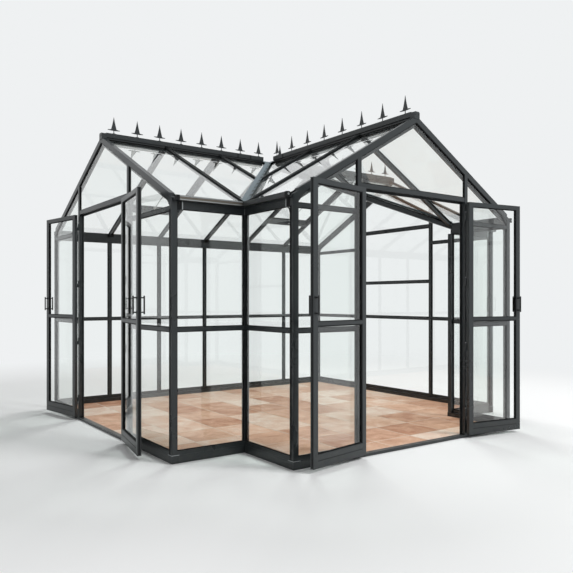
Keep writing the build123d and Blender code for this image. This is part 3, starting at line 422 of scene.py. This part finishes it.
FINISHES = {
    "frame": ("Powder-coated aluminium, charcoal", lambda name: powder_coat(name, settings().colours.frame)),
    "gutter": ("Powder-coated aluminium, gutters", lambda name: powder_coat(name, settings().colours.gutter, 0.3)),
    "black": ("Black-coated steel", lambda name: powder_coat(name, settings().colours.ironmongery, 0.3, 0.0)),
    "plate": ("Coil-coated sheet, pale grey", lambda name: powder_coat(name, settings().colours.plate, 0.5, 0.0)),
    "rubber": ("EPDM rubber", lambda name: moulded_rubber(name, settings().colours.rubber)),
    "nylon": ("Moulded nylon, black", lambda name: moulded_rubber(name, settings().colours.ironmongery)),
    # This bare metal also makes the pale face on the front gutters, which is a painted reflection
    "bare_metal_and_painted_reflection": ("Bare aluminium and painted gutter reflection", lambda name: plated_metal(name, settings().colours.bare_metal_and_painted_reflection, 0.42)),
    "zinc": ("Zinc-plated steel", lambda name: plated_metal(name, settings().colours.zinc, 0.35)),
    "glass": ("Clear float glass", lambda name: float_glass(name, settings().colours.glass)),
    "clay": ("Terracotta tile", fired_clay),
    "grout": ("Cement grout", lambda name: cement(name, settings().colours.grout)),
    "studio": ("Studio floor paint", studio_paint),
}


def finish(kind):
    """One of the finishes, made the first time that it is asked for."""
    name, make = FINISHES[kind]
    return bpy.data.materials.get(name) or make(name)


def paint(names, kind):
    """Gives a finish to some CAD nodes."""
    for name in names:
        for held in frame["nodes"][name].material_slots:
            held.material = finish(kind)


def nodes_with(slot_name):
    return [s["node"] for s in frame["record"]["subparts"] if s["material_slot"] == slot_name]


# Ways of shaping a piece

def only(*pieces):
    """Selects some pieces and nothing else, and makes the last one active."""
    bpy.ops.object.select_all(action="DESELECT")
    for piece in pieces:
        piece.select_set(True)
    bpy.context.view_layer.objects.active = pieces[-1]


def pick_faces(piece, test):
    """In edit mode, selects the faces that pass a test, and no others."""
    bpy.ops.mesh.select_mode(type="FACE")
    bpy.ops.mesh.select_all(action="DESELECT")
    mesh = bmesh.from_edit_mesh(piece.data)
    for face in mesh.faces:
        face.select_set(bool(test(face)))
    bmesh.update_edit_mesh(piece.data)


def start_block(low, high):
    """A cube brought to its two corners and left in edit mode, ready to be shaped."""
    low, high = Vector(low), Vector(high)
    bpy.ops.mesh.primitive_cube_add(size=1.0, location=(low + high) / 2)
    block = bpy.context.active_object
    block.scale = high - low
    bpy.ops.object.transform_apply(location=True, rotation=True, scale=True)
    bpy.ops.object.mode_set(mode="EDIT")
    bpy.ops.mesh.select_all(action="SELECT")
    return block


def ease_edges(offset, segments=2):
    """Eases every edge of the piece in edit mode, and leaves edit mode."""
    bpy.ops.mesh.select_all(action="SELECT")
    bpy.ops.mesh.bevel(offset=offset, segments=segments, affect="EDGES")
    bpy.ops.object.mode_set(mode="OBJECT")


def bar(low, high, frame_matrix=None, ease=0.0005, segments=2):
    """A bar between two corners of a frame, with its edges eased."""
    made = start_block(low, high)
    ease_edges(ease, segments)
    if frame_matrix is not None:
        made.matrix_world = frame_matrix
    return made


def extrude_faces(piece, test, move):
    """Draws some faces of the piece in edit mode out along a way."""
    pick_faces(piece, test)
    bpy.ops.mesh.extrude_region_move(TRANSFORM_OT_translate={"value": move})


def domed_head(radius, height, recess=True):
    """A round head that stands on the ground: its rim is eased, and a screw's has a recess."""
    bpy.ops.mesh.primitive_cylinder_add(vertices=12, radius=radius, depth=height, location=(0, 0, height / 2))
    head = bpy.context.active_object
    bpy.ops.object.transform_apply(location=True, rotation=True, scale=True)
    bpy.ops.object.mode_set(mode="EDIT")
    pick_faces(head, lambda face: face.normal.z > 0.9)
    bpy.ops.mesh.bevel(offset=0.45 * height, segments=1, affect="EDGES")
    pick_faces(head, lambda face: face.normal.z > 0.9)
    bpy.ops.mesh.inset(thickness=0.35 * radius)
    move = -0.4 * height if recess else 0.25 * height
    bpy.ops.mesh.extrude_region_move(TRANSFORM_OT_translate={"value": (0, 0, move)})
    bpy.ops.object.mode_set(mode="OBJECT")
    return head


def copies(model, places):
    """A modelled shape once at each place, each copy with its own mesh."""
    made = []
    for place in places:
        copy = model.copy()
        copy.data = model.data.copy()
        bpy.context.collection.objects.link(copy)
        copy.matrix_world = place
        made.append(copy)
    bpy.data.objects.remove(model)
    return made


def finish_piece(parts, name, kind, body=HOUSE):
    """Joins what belongs to one piece, settles it with its place in its mesh, and lets it ride."""
    only(*parts)
    if len(parts) > 1:
        bpy.ops.object.join()
    piece = bpy.context.active_object
    piece.name = piece.data.name = name
    bpy.ops.object.transform_apply(location=True, rotation=True, scale=True)
    bpy.ops.object.mode_set(mode="EDIT")
    bpy.ops.mesh.select_all(action="SELECT")
    bpy.ops.mesh.normals_make_consistent(inside=False)
    bpy.ops.object.mode_set(mode="OBJECT")
    piece.data.materials.clear()
    piece.data.materials.append(finish(kind))
    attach(piece, body)
    return piece


# Operators: one for each piece or group of like pieces

class GREENHOUSE_OT_frame_finish(bpy.types.Operator):
    """Coats the bars, gutters, plates, hinges and handles, and glazes the panes"""

    bl_idname = "greenhouse.frame_finish"
    bl_label = "Frame finish"

    def execute(self, context):
        paint(nodes_with("frame_metal"), "frame")
        paint(nodes_with("gutter_metal"), "gutter")
        paint(nodes_with("hinge_metal"), "frame")
        paint(nodes_with("handle_metal"), "black")
        paint(nodes_with("clear_glass"), "glass")
        paint(["valley_plates"], "plate")
        return {"FINISHED"}


def glazing_gasket(node, name, body, reach, wanted):
    """Rubber round the panes of a glass node: each pane's face is brought in to its sight line,
    and a ring of it is drawn out to the bars' faces."""
    piece = bpy.data.objects.new(name, frame["nodes"][node].data.copy())
    bpy.context.collection.objects.link(piece)
    only(piece)
    bpy.ops.object.mode_set(mode="EDIT")
    bpy.ops.mesh.select_mode(type="FACE")
    bpy.ops.mesh.select_all(action="SELECT")
    bpy.ops.mesh.remove_doubles(threshold=0.00005)
    bpy.ops.mesh.dissolve_limited(angle_limit=radians(1.0))
    pick_faces(piece, lambda face: face.calc_area() < 0.012 or not wanted(face.normal))
    bpy.ops.mesh.delete(type="FACE")
    for width, spare in ((GLASS_BITE, "rim"), (settings().sizes.gasket, "middle")):
        bpy.ops.mesh.select_all(action="SELECT")
        bpy.ops.mesh.inset(thickness=width, use_individual=True)
        if spare == "rim":
            bpy.ops.mesh.select_all(action="INVERT")
        bpy.ops.mesh.delete(type="FACE")
    bpy.ops.object.mode_set(mode="OBJECT")
    wall = piece.modifiers.new("Depth", "SOLIDIFY")
    wall.thickness, wall.offset = reach, 1.0
    bpy.ops.object.modifier_apply(modifier=wall.name)
    soft = piece.modifiers.new("Soft edge", "BEVEL")
    soft.width, soft.segments = 0.001, 1
    bpy.ops.object.modifier_apply(modifier=soft.name)
    finish_piece([piece], name, "rubber", body)


class GREENHOUSE_OT_gaskets(bpy.types.Operator):
    """Sets the rubber gaskets round every pane"""

    bl_idname = "greenhouse.gaskets"
    bl_label = "Glazing gaskets"

    def execute(self, context):
        for node in ("gable_glass", "back_wall_glass", "front_short_wall_glass"):
            glazing_gasket(node, node.replace("glass", "gaskets"), HOUSE, 0.007, lambda normal: True)
        for node in ("back_roof_glass", "front_roof_glass", "wing_roof_glass", "roof_vent_glass"):
            name = node.replace("glass", "gaskets")
            glazing_gasket(node, name + "_above", HOUSE, 0.005, lambda normal: normal.z > 0.3)
            glazing_gasket(node, name + "_below", HOUSE, 0.0025, lambda normal: normal.z < -0.3)
        for leaf in LEAVES:
            glazing_gasket(leaf.name + "_glass", leaf.name + "_gaskets", leaf.name, 0.009, lambda normal: True)
        return {"FINISHED"}


class GREENHOUSE_OT_tiled_floor(bpy.types.Operator):
    """Lays the clay tiles on their bed, cut to the walls"""

    bl_idname = "greenhouse.tiled_floor"
    bl_label = "Tiled floor"

    def execute(self, context):
        side, joint = settings().sizes.tile, settings().sizes.grout
        wing_half = WING_HALF - FLOOR_INSET
        half, top = (side - joint) / 2, floor_high.z - 0.0006

        def laid(columns, rows, field_half, field_end):
            """One field of tiles: a tile is modelled, copied over the field and cut at three walls."""
            tile = start_block((-half, -half, top - 0.011), (half, half, top))
            pick_faces(tile, lambda face: face.normal.z > 0.9)
            bpy.ops.mesh.bevel(offset=0.0022, segments=2, affect="EDGES")
            # A pressed tile is a touch higher in its middle
            pick_faces(tile, lambda face: face.normal.z > 0.99)
            bpy.ops.mesh.inset(thickness=0.05)
            bpy.ops.mesh.inset(thickness=0.06)
            bpy.ops.transform.translate(value=(0, 0, 0.0004))
            bpy.ops.object.mode_set(mode="OBJECT")
            # Hand laying leaves some tiles up to 0.6 mm lower than others
            places = [
                Matrix.Translation((i * side, TILE_ROW_START + (j + 0.5) * side, -0.0002 * ((3 * i + 5 * j) % 4)))
                for i in columns for j in rows
            ]
            tiles = copies(tile, places)
            only(*tiles)
            bpy.ops.object.join()
            bpy.ops.object.transform_apply(location=True, rotation=True, scale=True)
            bpy.ops.object.mode_set(mode="EDIT")
            for point in ((field_half, 0, 0), (-field_half, 0, 0), (0, field_end, 0)):
                away = Vector(point).normalized()
                bpy.ops.mesh.select_all(action="SELECT")
                bpy.ops.mesh.bisect(plane_co=point, plane_no=away, use_fill=True, clear_outer=True)
            bpy.ops.object.mode_set(mode="OBJECT")
            return bpy.context.active_object

        main = laid(range(-4, 5), range(7), floor_high.x, floor_high.y)
        wing = laid(range(-3, 4), (-1, -2), wing_half, floor_low.y)
        tiles = finish_piece([main, wing], "floor_tiles", "clay")
        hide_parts("floor")

        bed_top = floor_high.z - 0.0022
        beds = [
            bar((-floor_high.x, TILE_ROW_START, floor_low.z), (floor_high.x, floor_high.y, bed_top)),
            bar((-wing_half, floor_low.y, floor_low.z), (wing_half, TILE_ROW_START, bed_top)),
        ]
        finish_piece(beds, "floor_grout", "grout")
        return {"FINISHED"}


class GREENHOUSE_OT_wall_fittings(bpy.types.Operator):
    """Fits the black strips, shoes and feet of the corner posts, and the eaves' connectors and flutes"""

    bl_idname = "greenhouse.wall_fittings"
    bl_label = "Wall fittings"

    def execute(self, context):
        # Black strips run down the outer side faces of the corner posts, beside the panes, on the gable and wing walls
        width = settings().sizes.post_strip
        foot, head = PLINTH_TOP + 0.004, POST_TOP - 0.002
        strips = []
        for wall, starts, ends in (
            (LEFT_GABLE, True, True), (RIGHT_GABLE, True, True), (LEFT_WING, False, True), (RIGHT_WING, True, False),
        ):
            for _, side in outer_ends(wall, starts, ends):
                low = POST - width if side > 0 else wall.length - POST
                strips.append(bar((low, -0.0012, foot), (low + width, 0.0004, head), wall_frame(wall)))
        finish_piece(strips, "post_black_strips", "rubber")

        corners = (
            (-MAIN_HALF, -GABLE_HALF, 0), (-WING_HALF, -FRONT_LINE, 0), (WING_HALF, -FRONT_LINE, 1),
            (MAIN_HALF, -GABLE_HALF, 1), (MAIN_HALF, GABLE_HALF, 2), (-MAIN_HALF, GABLE_HALF, 3),
        )
        places = [
            Matrix.Translation((x, y, 0)) @ Matrix.Rotation(radians(90 * turns), 4, "Z") for x, y, turns in corners
        ]
        for name, kind, slot, leg, proud, low, high in (
            ("plinth_shoes", "frame", "frame_metal", 0.060, 0.0015, 0.001, PLINTH_TOP - 0.001),
            ("post_foot_plates", "zinc", "hinge_metal", 0.058, 0.0032, PLINTH_TOP - 0.001, PLINTH_TOP + 0.003),
        ):
            shoe = start_block((-proud, -proud, low), (0, 0, high))
            extrude_faces(shoe, lambda face: face.normal.x > 0.9, (leg, 0, 0))
            extrude_faces(shoe, lambda face: face.normal.y > 0.9 and face.calc_center_median().x < 0, (0, leg, 0))
            ease_edges(0.0004, 1)
            finish_piece(copies(shoe, places), name, kind)

        blocks, edges, flutes, braces = [], [], [], []
        for wall, starts, ends in GUTTERED:
            plan = wall_frame(wall)
            for origin, side in outer_ends(wall, starts, ends):
                x = span(origin, side, POST + 0.0005, CONNECTOR_END)
                blocks.append(bar((x[0], -0.003, POST_TOP - 0.002), (x[1], 0.002, GUTTER_BOTTOM - 0.001), plan, 0.001))
                x = span(origin, side, CONNECTOR_END, CONNECTOR_EDGE)
                edges.append(bar((x[0], -0.0035, POST_TOP - 0.004), (x[1], 0.002, GUTTER_BOTTOM - 0.001), plan))
                braces.append((plan, origin, side))
            low = CONNECTOR_EDGE + 0.001 if starts else 0.002
            high = wall.length - (CONNECTOR_EDGE + 0.001 if ends else 0.002)
            for level in FLUTE_LEVELS:
                flutes.append(bar((low, -0.0012, level), (high, 0.0004, level + 0.006), plan))
        finish_piece(blocks, "eave_connectors", "nylon")
        finish_piece(edges, "eave_connector_edges", "zinc")
        finish_piece(flutes, "eave_flutes", "frame")

        radius = 0.042
        brace = start_block((-0.0035, 0.0005, -0.0015), (0.0035, 0.0065, 0.0015))
        pick_faces(brace, lambda face: face.normal.z > 0.9)
        bpy.ops.mesh.spin(steps=8, angle=radians(-90), center=(radius, 0, 0), axis=(0, 1, 0))
        bpy.ops.mesh.select_all(action="SELECT")
        bpy.ops.mesh.remove_doubles(threshold=0.00005)
        bpy.ops.object.mode_set(mode="OBJECT")
        set_out = []
        for plan, origin, side in braces:
            at = Matrix.Translation((origin + side * (POST + 0.0035), 0, POST_TOP - radius - 0.002))
            set_out.append(plan @ at @ Matrix.Diagonal((side, 1, 1, 1)))
        finish_piece(copies(brace, set_out), "eave_corner_braces", "frame")
        return {"FINISHED"}


class GREENHOUSE_OT_rainwater(bpy.types.Operator):
    """Fits the gutters' end caps and studs, and the pale beaded faces painted on the front gutters as reflection"""

    bl_idname = "greenhouse.rainwater"
    bl_label = "Rainwater fittings"

    def execute(self, context):
        caps, faces, beads = [], [], []
        for wall, starts, ends in GUTTERED:
            plan = wall_frame(wall)
            # The back gutter's face is the CAD box's own limit, so nothing stands proud of it
            proud = -0.0002 if wall is BACK_WALL else 0.0012
            for origin, side in outer_ends(wall, starts, ends):
                x = span(origin, side, GUTTER_END, GUTTER_CAP_END)
                low = (x[0], -GUTTER_FRONT - proud, GUTTER_BOTTOM - 0.0012)
                high = (x[1], -0.019, GUTTER_LIP + 0.0012)
                caps.append(bar(low, high, plan, 0.0012))
            # The two front short walls' gutters get a pale face with a pale bead at top and bottom: painted reflection
            # of a bright band, on gutters that are charcoal like the others
            if wall in (LEFT_SHORT, RIGHT_SHORT):
                # At the inner corner the face stops 2 mm short of the other gutter
                clear = GUTTER_FRONT + 0.002
                low = GUTTER_CAP_END if starts else clear
                high = wall.length - (GUTTER_CAP_END if ends else clear)
                foot, lip = GUTTER_BOTTOM + 0.001, GUTTER_LIP - 0.001
                front = -GUTTER_FRONT
                faces.append(bar((low, front - 0.0012, foot), (high, front + 0.0005, lip), plan))
                for level in (foot + 0.001, lip - 0.009):
                    beads.append(bar((low, front - 0.0035, level), (high, front, level + 0.008), plan, 0.0018, 3))
        studs = []
        for wall, origin, side in ((LEFT_WING, LEFT_WING.length, -1), (RIGHT_WING, 0, 1)):
            plan = wall_frame(wall)
            at = plan @ Vector((origin + side * GUTTER_END, -0.034, 1.876))
            studs.append(facing(at, plan.to_3x3() @ Vector((-side, 0, 0))))
        finish_piece(copies(domed_head(0.008, 0.004, recess=False), studs), "gutter_end_studs", "zinc")
        finish_piece(caps, "gutter_end_caps", "nylon")
        # The pale gutter faces and beads are painted reflection
        finish_piece(faces, "gutter_painted_reflections", "bare_metal_and_painted_reflection")
        finish_piece(beads, "gutter_painted_reflection_beads", "zinc")
        return {"FINISHED"}


def valley_run(slope, station):
    """How far down a slope a rafter goes before it meets the valley."""
    ratio = GABLE_HALF / WING_HALF if slope.half == GABLE_HALF else WING_HALF / GABLE_HALF
    return abs(station) * ratio


class GREENHOUSE_OT_roof_fittings(bpy.types.Operator):
    """Fits the rafters' cappings and shoes, the caps' straps, the valley screws and the finials' feet"""

    bl_idname = "greenhouse.roof_fittings"
    bl_label = "Roof fittings"

    def execute(self, context):
        # Each rafter with its level run, or 0 where the valley or the eave ends it
        strips = []
        back = [(BACK_SLOPE, k * BAY, GABLE_HALF - POST) for k in range(-2, 3)]
        front = [(FRONT_SLOPE, s * x, 0) for s in (-1, 1) for x in (BAY, WING_HALF - POST / 2)]
        wing = [
            (slope, s * y, 0) for slope, s in ((WING_RIGHT_SLOPE, 1), (WING_LEFT_SLOPE, -1))
            for y in (GABLE_HALF / 2, GABLE_HALF - POST / 2)
        ]
        for slope, station, run in back + front + wing:
            level = cos(slope_pitch(slope))
            end = run or min(slope.half - POST, valley_run(slope, station) - 0.075)
            low, high = (-0.006, 0.034 / level, -0.0005), (0.006, end / level, 0.0028)
            strips.append(bar(low, high, slope_frame(slope, station), 0.0012))
        finish_piece(strips, "rafter_cappings", "rubber")

        shoes = []
        for k in range(-2, 3):
            level = cos(slope_pitch(BACK_SLOPE))
            low, high = (GABLE_HALF - POST - 0.036) / level, (GABLE_HALF - POST + 0.001) / level
            shoes.append(bar((-0.021, low, -0.060), (0.021, high, -0.0455), slope_frame(BACK_SLOPE, k * BAY), 0.002))
        finish_piece(shoes, "rafter_feet", "nylon")

        strap = start_block((-CAP_HALF - 0.0012, -0.007, CAP_FOOT - 0.0008), (CAP_HALF + 0.0012, 0.007, CAP_SHOULDER))
        extrude_faces(strap, lambda face: face.normal.z > 0.9, (0, 0, CAP_TOP - CAP_SHOULDER + 0.0012))
        bpy.ops.transform.resize(value=(0.02, 1, 1))
        ease_edges(0.0004, 1)
        turn = Matrix.Rotation(radians(90), 4, "Z")
        places = [Matrix.Translation((x, 0, 0)) @ turn for x in CAP_STRAPS]
        places.append(Matrix.Translation((0, WING_CAP_STRAP, 0)))
        finish_piece(copies(strap, places), "cap_straps", "rubber")

        pitch = settings().sizes.fixing_pitch
        reach = (WING_HALF**2 + GABLE_HALF**2) ** 0.5
        places = []
        for side in (-1, 1):
            way = Vector((side * WING_HALF, -GABLE_HALF, 0)) / reach
            inwards = Vector((-side * GABLE_HALF, -WING_HALF, 0)) / reach
            slope = WING_RIGHT_SLOPE if side > 0 else WING_LEFT_SLOPE
            lean, level = sin(slope_pitch(slope)), cos(slope_pitch(slope))
            for k in range(int((reach - 0.2) / pitch)):
                spot = way * (0.17 + k * pitch) + inwards * 0.022
                height = RIDGE - abs(spot.x) * lean / level + 0.0028 / level
                places.append(facing((spot.x, spot.y, height), (side * lean, 0, level)))
        finish_piece(copies(domed_head(0.010, 0.004), places), "valley_screws", "black")

        foot = start_block((-0.017, -0.006, CAP_TOP - 0.0012), (0.017, 0.006, CAP_TOP + 0.0016))
        extrude_faces(foot, lambda face: face.normal.z > 0.9, (0, 0, 0.004))
        bpy.ops.transform.resize(value=(0.35, 0.6, 1))
        ease_edges(0.0005, 1)
        stations = []
        for end, way in ((MAIN_HALF, (1, 0)), (MAIN_HALF, (-1, 0)), (FRONT_LINE, (0, -1))):
            step = (end - FINIAL_END_GAP - FINIAL_CROSSING_GAP) / (FINIALS_EACH - 1)
            stations += [(way, FINIAL_CROSSING_GAP + k * step) for k in range(FINIALS_EACH)]
        places = [
            Matrix.Translation((way[0] * s, way[1] * s, 0)) @ (turn if way[0] == 0 else Matrix.Identity(4))
            for way, s in stations
        ]
        finish_piece(copies(foot, places), "finial_feet", "frame")
        return {"FINISHED"}


class GREENHOUSE_OT_vent_fittings(bpy.types.Operator):
    """Fits the roof vents' hinges, stays and pegs"""

    bl_idname = "greenhouse.vent_fittings"
    bl_label = "Vent fittings"

    def execute(self, context):
        level = cos(slope_pitch(BACK_SLOPE))
        stays, hinges = [], []
        for side in (-1, 1):
            plane = slope_frame(BACK_SLOPE, side * 1.5 * BAY)
            stays.append(bar((-0.005, 0.55 / level, -0.0275), (0.005, 0.883 / level, -0.0245), plane, 0.0008))
            stays.append(bar((-0.012, 0.845 / level, -0.0255), (0.012, 0.872 / level, -0.0178), plane, 0.001))
            stays.append(bar((-0.009, 0.889 / level, -0.052), (0.009, 0.905 / level, -0.0448), plane, 0.001))
            for x in (-0.2, 0.2):
                hinges.append(bar((x - 0.03, 0.0186 / level, -0.004), (x + 0.03, 0.030 / level, 0.0035), plane, 0.0015))
        finish_piece(stays, "vent_stays", "zinc")
        finish_piece(hinges, "vent_hinges", "black")
        return {"FINISHED"}


class GREENHOUSE_OT_gable_fittings(bpy.types.Operator):
    """Fits the screws of the gussets and apex covers, and the doorways' seals and threshold ribs"""

    bl_idname = "greenhouse.gable_fittings"
    bl_label = "Gable fittings"

    def execute(self, context):
        places = []
        for wall in (LEFT_GABLE, FRONT_GABLE, RIGHT_GABLE):
            plan, middle = wall_frame(wall), wall.length / 2
            slope_fall = (RIDGE - EAVE) / middle
            eave_line = RIDGE - 0.0453 * (1 + slope_fall**2) ** 0.5
            spots = []
            for side in (-1, 1):
                for back, down in ((0.010, 0.014), (0.040, 0.009), (0.012, 0.032)):
                    run = middle - POST - back
                    spots.append((middle + side * run, 0.003, eave_line - run * slope_fall - down))
            if wall is not RIGHT_GABLE:
                spots += [(middle + side * 0.018, -0.004, RIDGE + 0.010) for side in (-1, 1)]
            outwards = plan.to_3x3() @ Vector((0, -1, 0))
            places += [facing(plan @ Vector(spot), outwards) for spot in spots]
        finish_piece(copies(domed_head(0.0045, 0.0025), places), "gable_screws", "black")

        seals, treads = [], []
        for wall in (LEFT_GABLE, FRONT_GABLE):
            plan, middle = wall_frame(wall), wall.length / 2
            inner, outer = DOORWAY_HALF - SEAL_REACH, DOORWAY_HALF - 0.001
            near, far = SEAL_DEPTH, SEAL_DEPTH + 0.001
            # A closed leaf keeps 5 mm from the seals behind it and from the ribs below it
            for side in (-1, 1):
                x = span(middle, side, inner, outer)
                seals.append(bar((x[0], near, 0.024), (x[1], far, 1.980), plan, 0.0003))
            seals.append(bar((middle - inner, near, 1.9655), (middle + inner, far, 1.981), plan, 0.0003))
            for depth in (0.008, 0.020, 0.032):
                low, high = (middle - 0.590, depth, 0.0214), (middle + 0.590, depth + 0.005, 0.0229)
                treads.append(bar(low, high, plan, 0.0005))
        finish_piece(seals, "doorway_seals", "rubber")
        finish_piece(treads, "threshold_ribs", "bare_metal_and_painted_reflection")
        return {"FINISHED"}


class GREENHOUSE_OT_door_fittings(bpy.types.Operator):
    """Fits the leaves' hinge caps, handle roses, rail beads and edge seals"""

    bl_idname = "greenhouse.door_fittings"
    bl_label = "Door fittings"

    def execute(self, context):
        tops = [
            Matrix.Translation((*leaf.hinge, level + FIXED_KNUCKLE_TOP)) for leaf in LEAVES for level in HINGE_LEVELS
        ]
        finish_piece(copies(domed_head(0.0064, 0.003, recess=False), tops), "hinge_caps", "zinc")
        handle_x = LEAF_END - LEAF_STILE / 2
        across = Matrix.Rotation(radians(90), 4, "X")
        for leaf in LEAVES:
            plan = leaf_frame(leaf)
            roses = []
            for depth, flip in ((0.0, 0), (LEAF_DEPTH, 180)):
                for level in (HANDLE_LEVEL - HANDLE_STEM, HANDLE_LEVEL + HANDLE_STEM):
                    turned = Matrix.Rotation(radians(flip), 4, "Z") @ across
                    roses.append(plan @ Matrix.Translation((handle_x, depth, level)) @ turned)
            rose_parts = copies(domed_head(0.010, 0.003, recess=False), roses)
            ends = []
            for depth in (-HANDLE_STANDOFF, LEAF_DEPTH + HANDLE_STANDOFF):
                for end, flip in ((HANDLE_HALF, 0), (-HANDLE_HALF, 180)):
                    upright = Matrix.Rotation(radians(flip), 4, "X")
                    at = Matrix.Translation((handle_x, depth, HANDLE_LEVEL + end))
                    ends.append(plan @ at @ upright @ Matrix.Translation((0, 0, -0.0015)))
            end_parts = copies(domed_head(0.0058, 0.004, recess=False), ends)
            finish_piece(rose_parts + end_parts, leaf.name + "_handle_trim", "black", leaf.name)

            beads = []
            x = (0.0495, LEAF_END - LEAF_STILE - 0.0005)
            for depth in ((-0.0011, 0.0006), (LEAF_DEPTH - 0.0006, LEAF_DEPTH + 0.0011)):
                for low, high in RAIL_BEADS:
                    beads.append(bar((x[0], depth[0], low), (x[1], depth[1], high), plan))
            # Closed leaves stand 8 mm apart, so each edge seal may take 1.4 mm of it
            beads.append(bar((LEAF_END - 0.0003, 0.009, 0.034), (LEAF_END + 0.0014, 0.021, 1.970), plan))
            finish_piece(beads, leaf.name + "_seals", "rubber", leaf.name)
        return {"FINISHED"}


class GREENHOUSE_OT_stage(bpy.types.Operator):
    """Sets the studio: floor, light and camera"""

    bl_idname = "greenhouse.stage"
    bl_label = "Studio"

    def execute(self, context):
        scene = context.scene
        bpy.ops.mesh.primitive_circle_add(vertices=96, radius=60.0, fill_type="NGON", location=(0, 0, -0.002))
        ground = context.active_object
        bpy.ops.object.transform_apply(location=True, rotation=True, scale=True)
        ground.name = "studio_floor"
        ground.data.materials.append(finish("studio"))

        # The eye sees the backdrop's tone, and a dimmer white lights the scene
        world = bpy.data.worlds.new("Studio light")
        world.use_nodes = True
        tree = world.node_tree
        tree.nodes.clear()
        lit = add(tree, "Background", {"Color": (1.0, 1.0, 1.0, 1.0), "Strength": 0.4})
        shown = add(tree, "Background", {"Color": rgba(settings().colours.backdrop), "Strength": 1.0})
        mixed = add(
            tree, "MixShader", links={0: looked_at(tree), 1: lit.outputs["Background"], 2: shown.outputs["Background"]}
        )
        add(tree, "OutputWorld", links={"Surface": mixed.outputs["Shader"]})
        scene.world = world

        for name, place, energy, size in (
            ("key_light", (4.0, -9.0, 8.5), 840.0, 4.0),
            ("top_light", (3.0, 3.0, 9.5), 400.0, 2.5),
        ):
            lamp = bpy.data.lights.new(name, "AREA")
            lamp.energy, lamp.size = energy, size
            holder = bpy.data.objects.new(name, lamp)
            holder.location = place
            holder.rotation_euler = (Vector((0, 0, 1.0)) - Vector(place)).to_track_quat("-Z", "Y").to_euler()
            # The panes mirror the pale room, and no lamp's hard outline
            holder.visible_glossy = holder.visible_transmission = False
            scene.collection.objects.link(holder)

        # The camera fitted to the photograph
        camera = bpy.data.cameras.new("Camera")
        camera.lens, camera.sensor_width = 39.33, 36.0
        camera.shift_x, camera.shift_y = 0.0428, 0.0236
        camera.clip_end = 200.0
        holder = bpy.data.objects.new("Camera", camera)
        holder.location = (-3.7967, -5.3994, 1.1561)
        holder.rotation_euler = (radians(90.0), 0.0, radians(-34.442))
        scene.collection.objects.link(holder)
        scene.camera = holder
        scene.view_settings.view_transform = "Standard"
        return {"FINISHED"}


OPERATORS = (
    GREENHOUSE_OT_frame_finish,
    GREENHOUSE_OT_gaskets,
    GREENHOUSE_OT_tiled_floor,
    GREENHOUSE_OT_wall_fittings,
    GREENHOUSE_OT_rainwater,
    GREENHOUSE_OT_roof_fittings,
    GREENHOUSE_OT_vent_fittings,
    GREENHOUSE_OT_gable_fittings,
    GREENHOUSE_OT_door_fittings,
    GREENHOUSE_OT_stage,
)


class GREENHOUSE_PT_pieces(bpy.types.Panel):
    """Lists the settings and the pieces"""

    bl_idname = "GREENHOUSE_PT_pieces"
    bl_label = "Greenhouse"
    bl_space_type = "VIEW_3D"
    bl_region_type = "UI"
    bl_category = "Greenhouse"

    def draw(self, context):
        layout = self.layout
        for group in (settings().sizes, settings().colours):
            for name in group.__annotations__:
                layout.prop(group, name)
        for operator in OPERATORS:
            layout.operator(operator.bl_idname)


class GreenhouseSettings(bpy.types.PropertyGroup):
    sizes: PointerProperty(type=GreenhouseSizes)
    colours: PointerProperty(type=GreenhouseColours)


CLASSES = (GreenhouseSizes, GreenhouseColours, GreenhouseSettings, *OPERATORS, GREENHOUSE_PT_pieces)


def register():
    for cls in CLASSES:
        bpy.utils.register_class(cls)
    bpy.types.Scene.greenhouse = PointerProperty(type=GreenhouseSettings)


def unregister():
    del bpy.types.Scene.greenhouse
    for cls in reversed(CLASSES):
        bpy.utils.unregister_class(cls)


def main():
    register()
    for operator in OPERATORS:
        group, name = operator.bl_idname.split(".")
        getattr(getattr(bpy.ops, group), name)()
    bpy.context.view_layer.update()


if __name__ == "__main__":
    main()
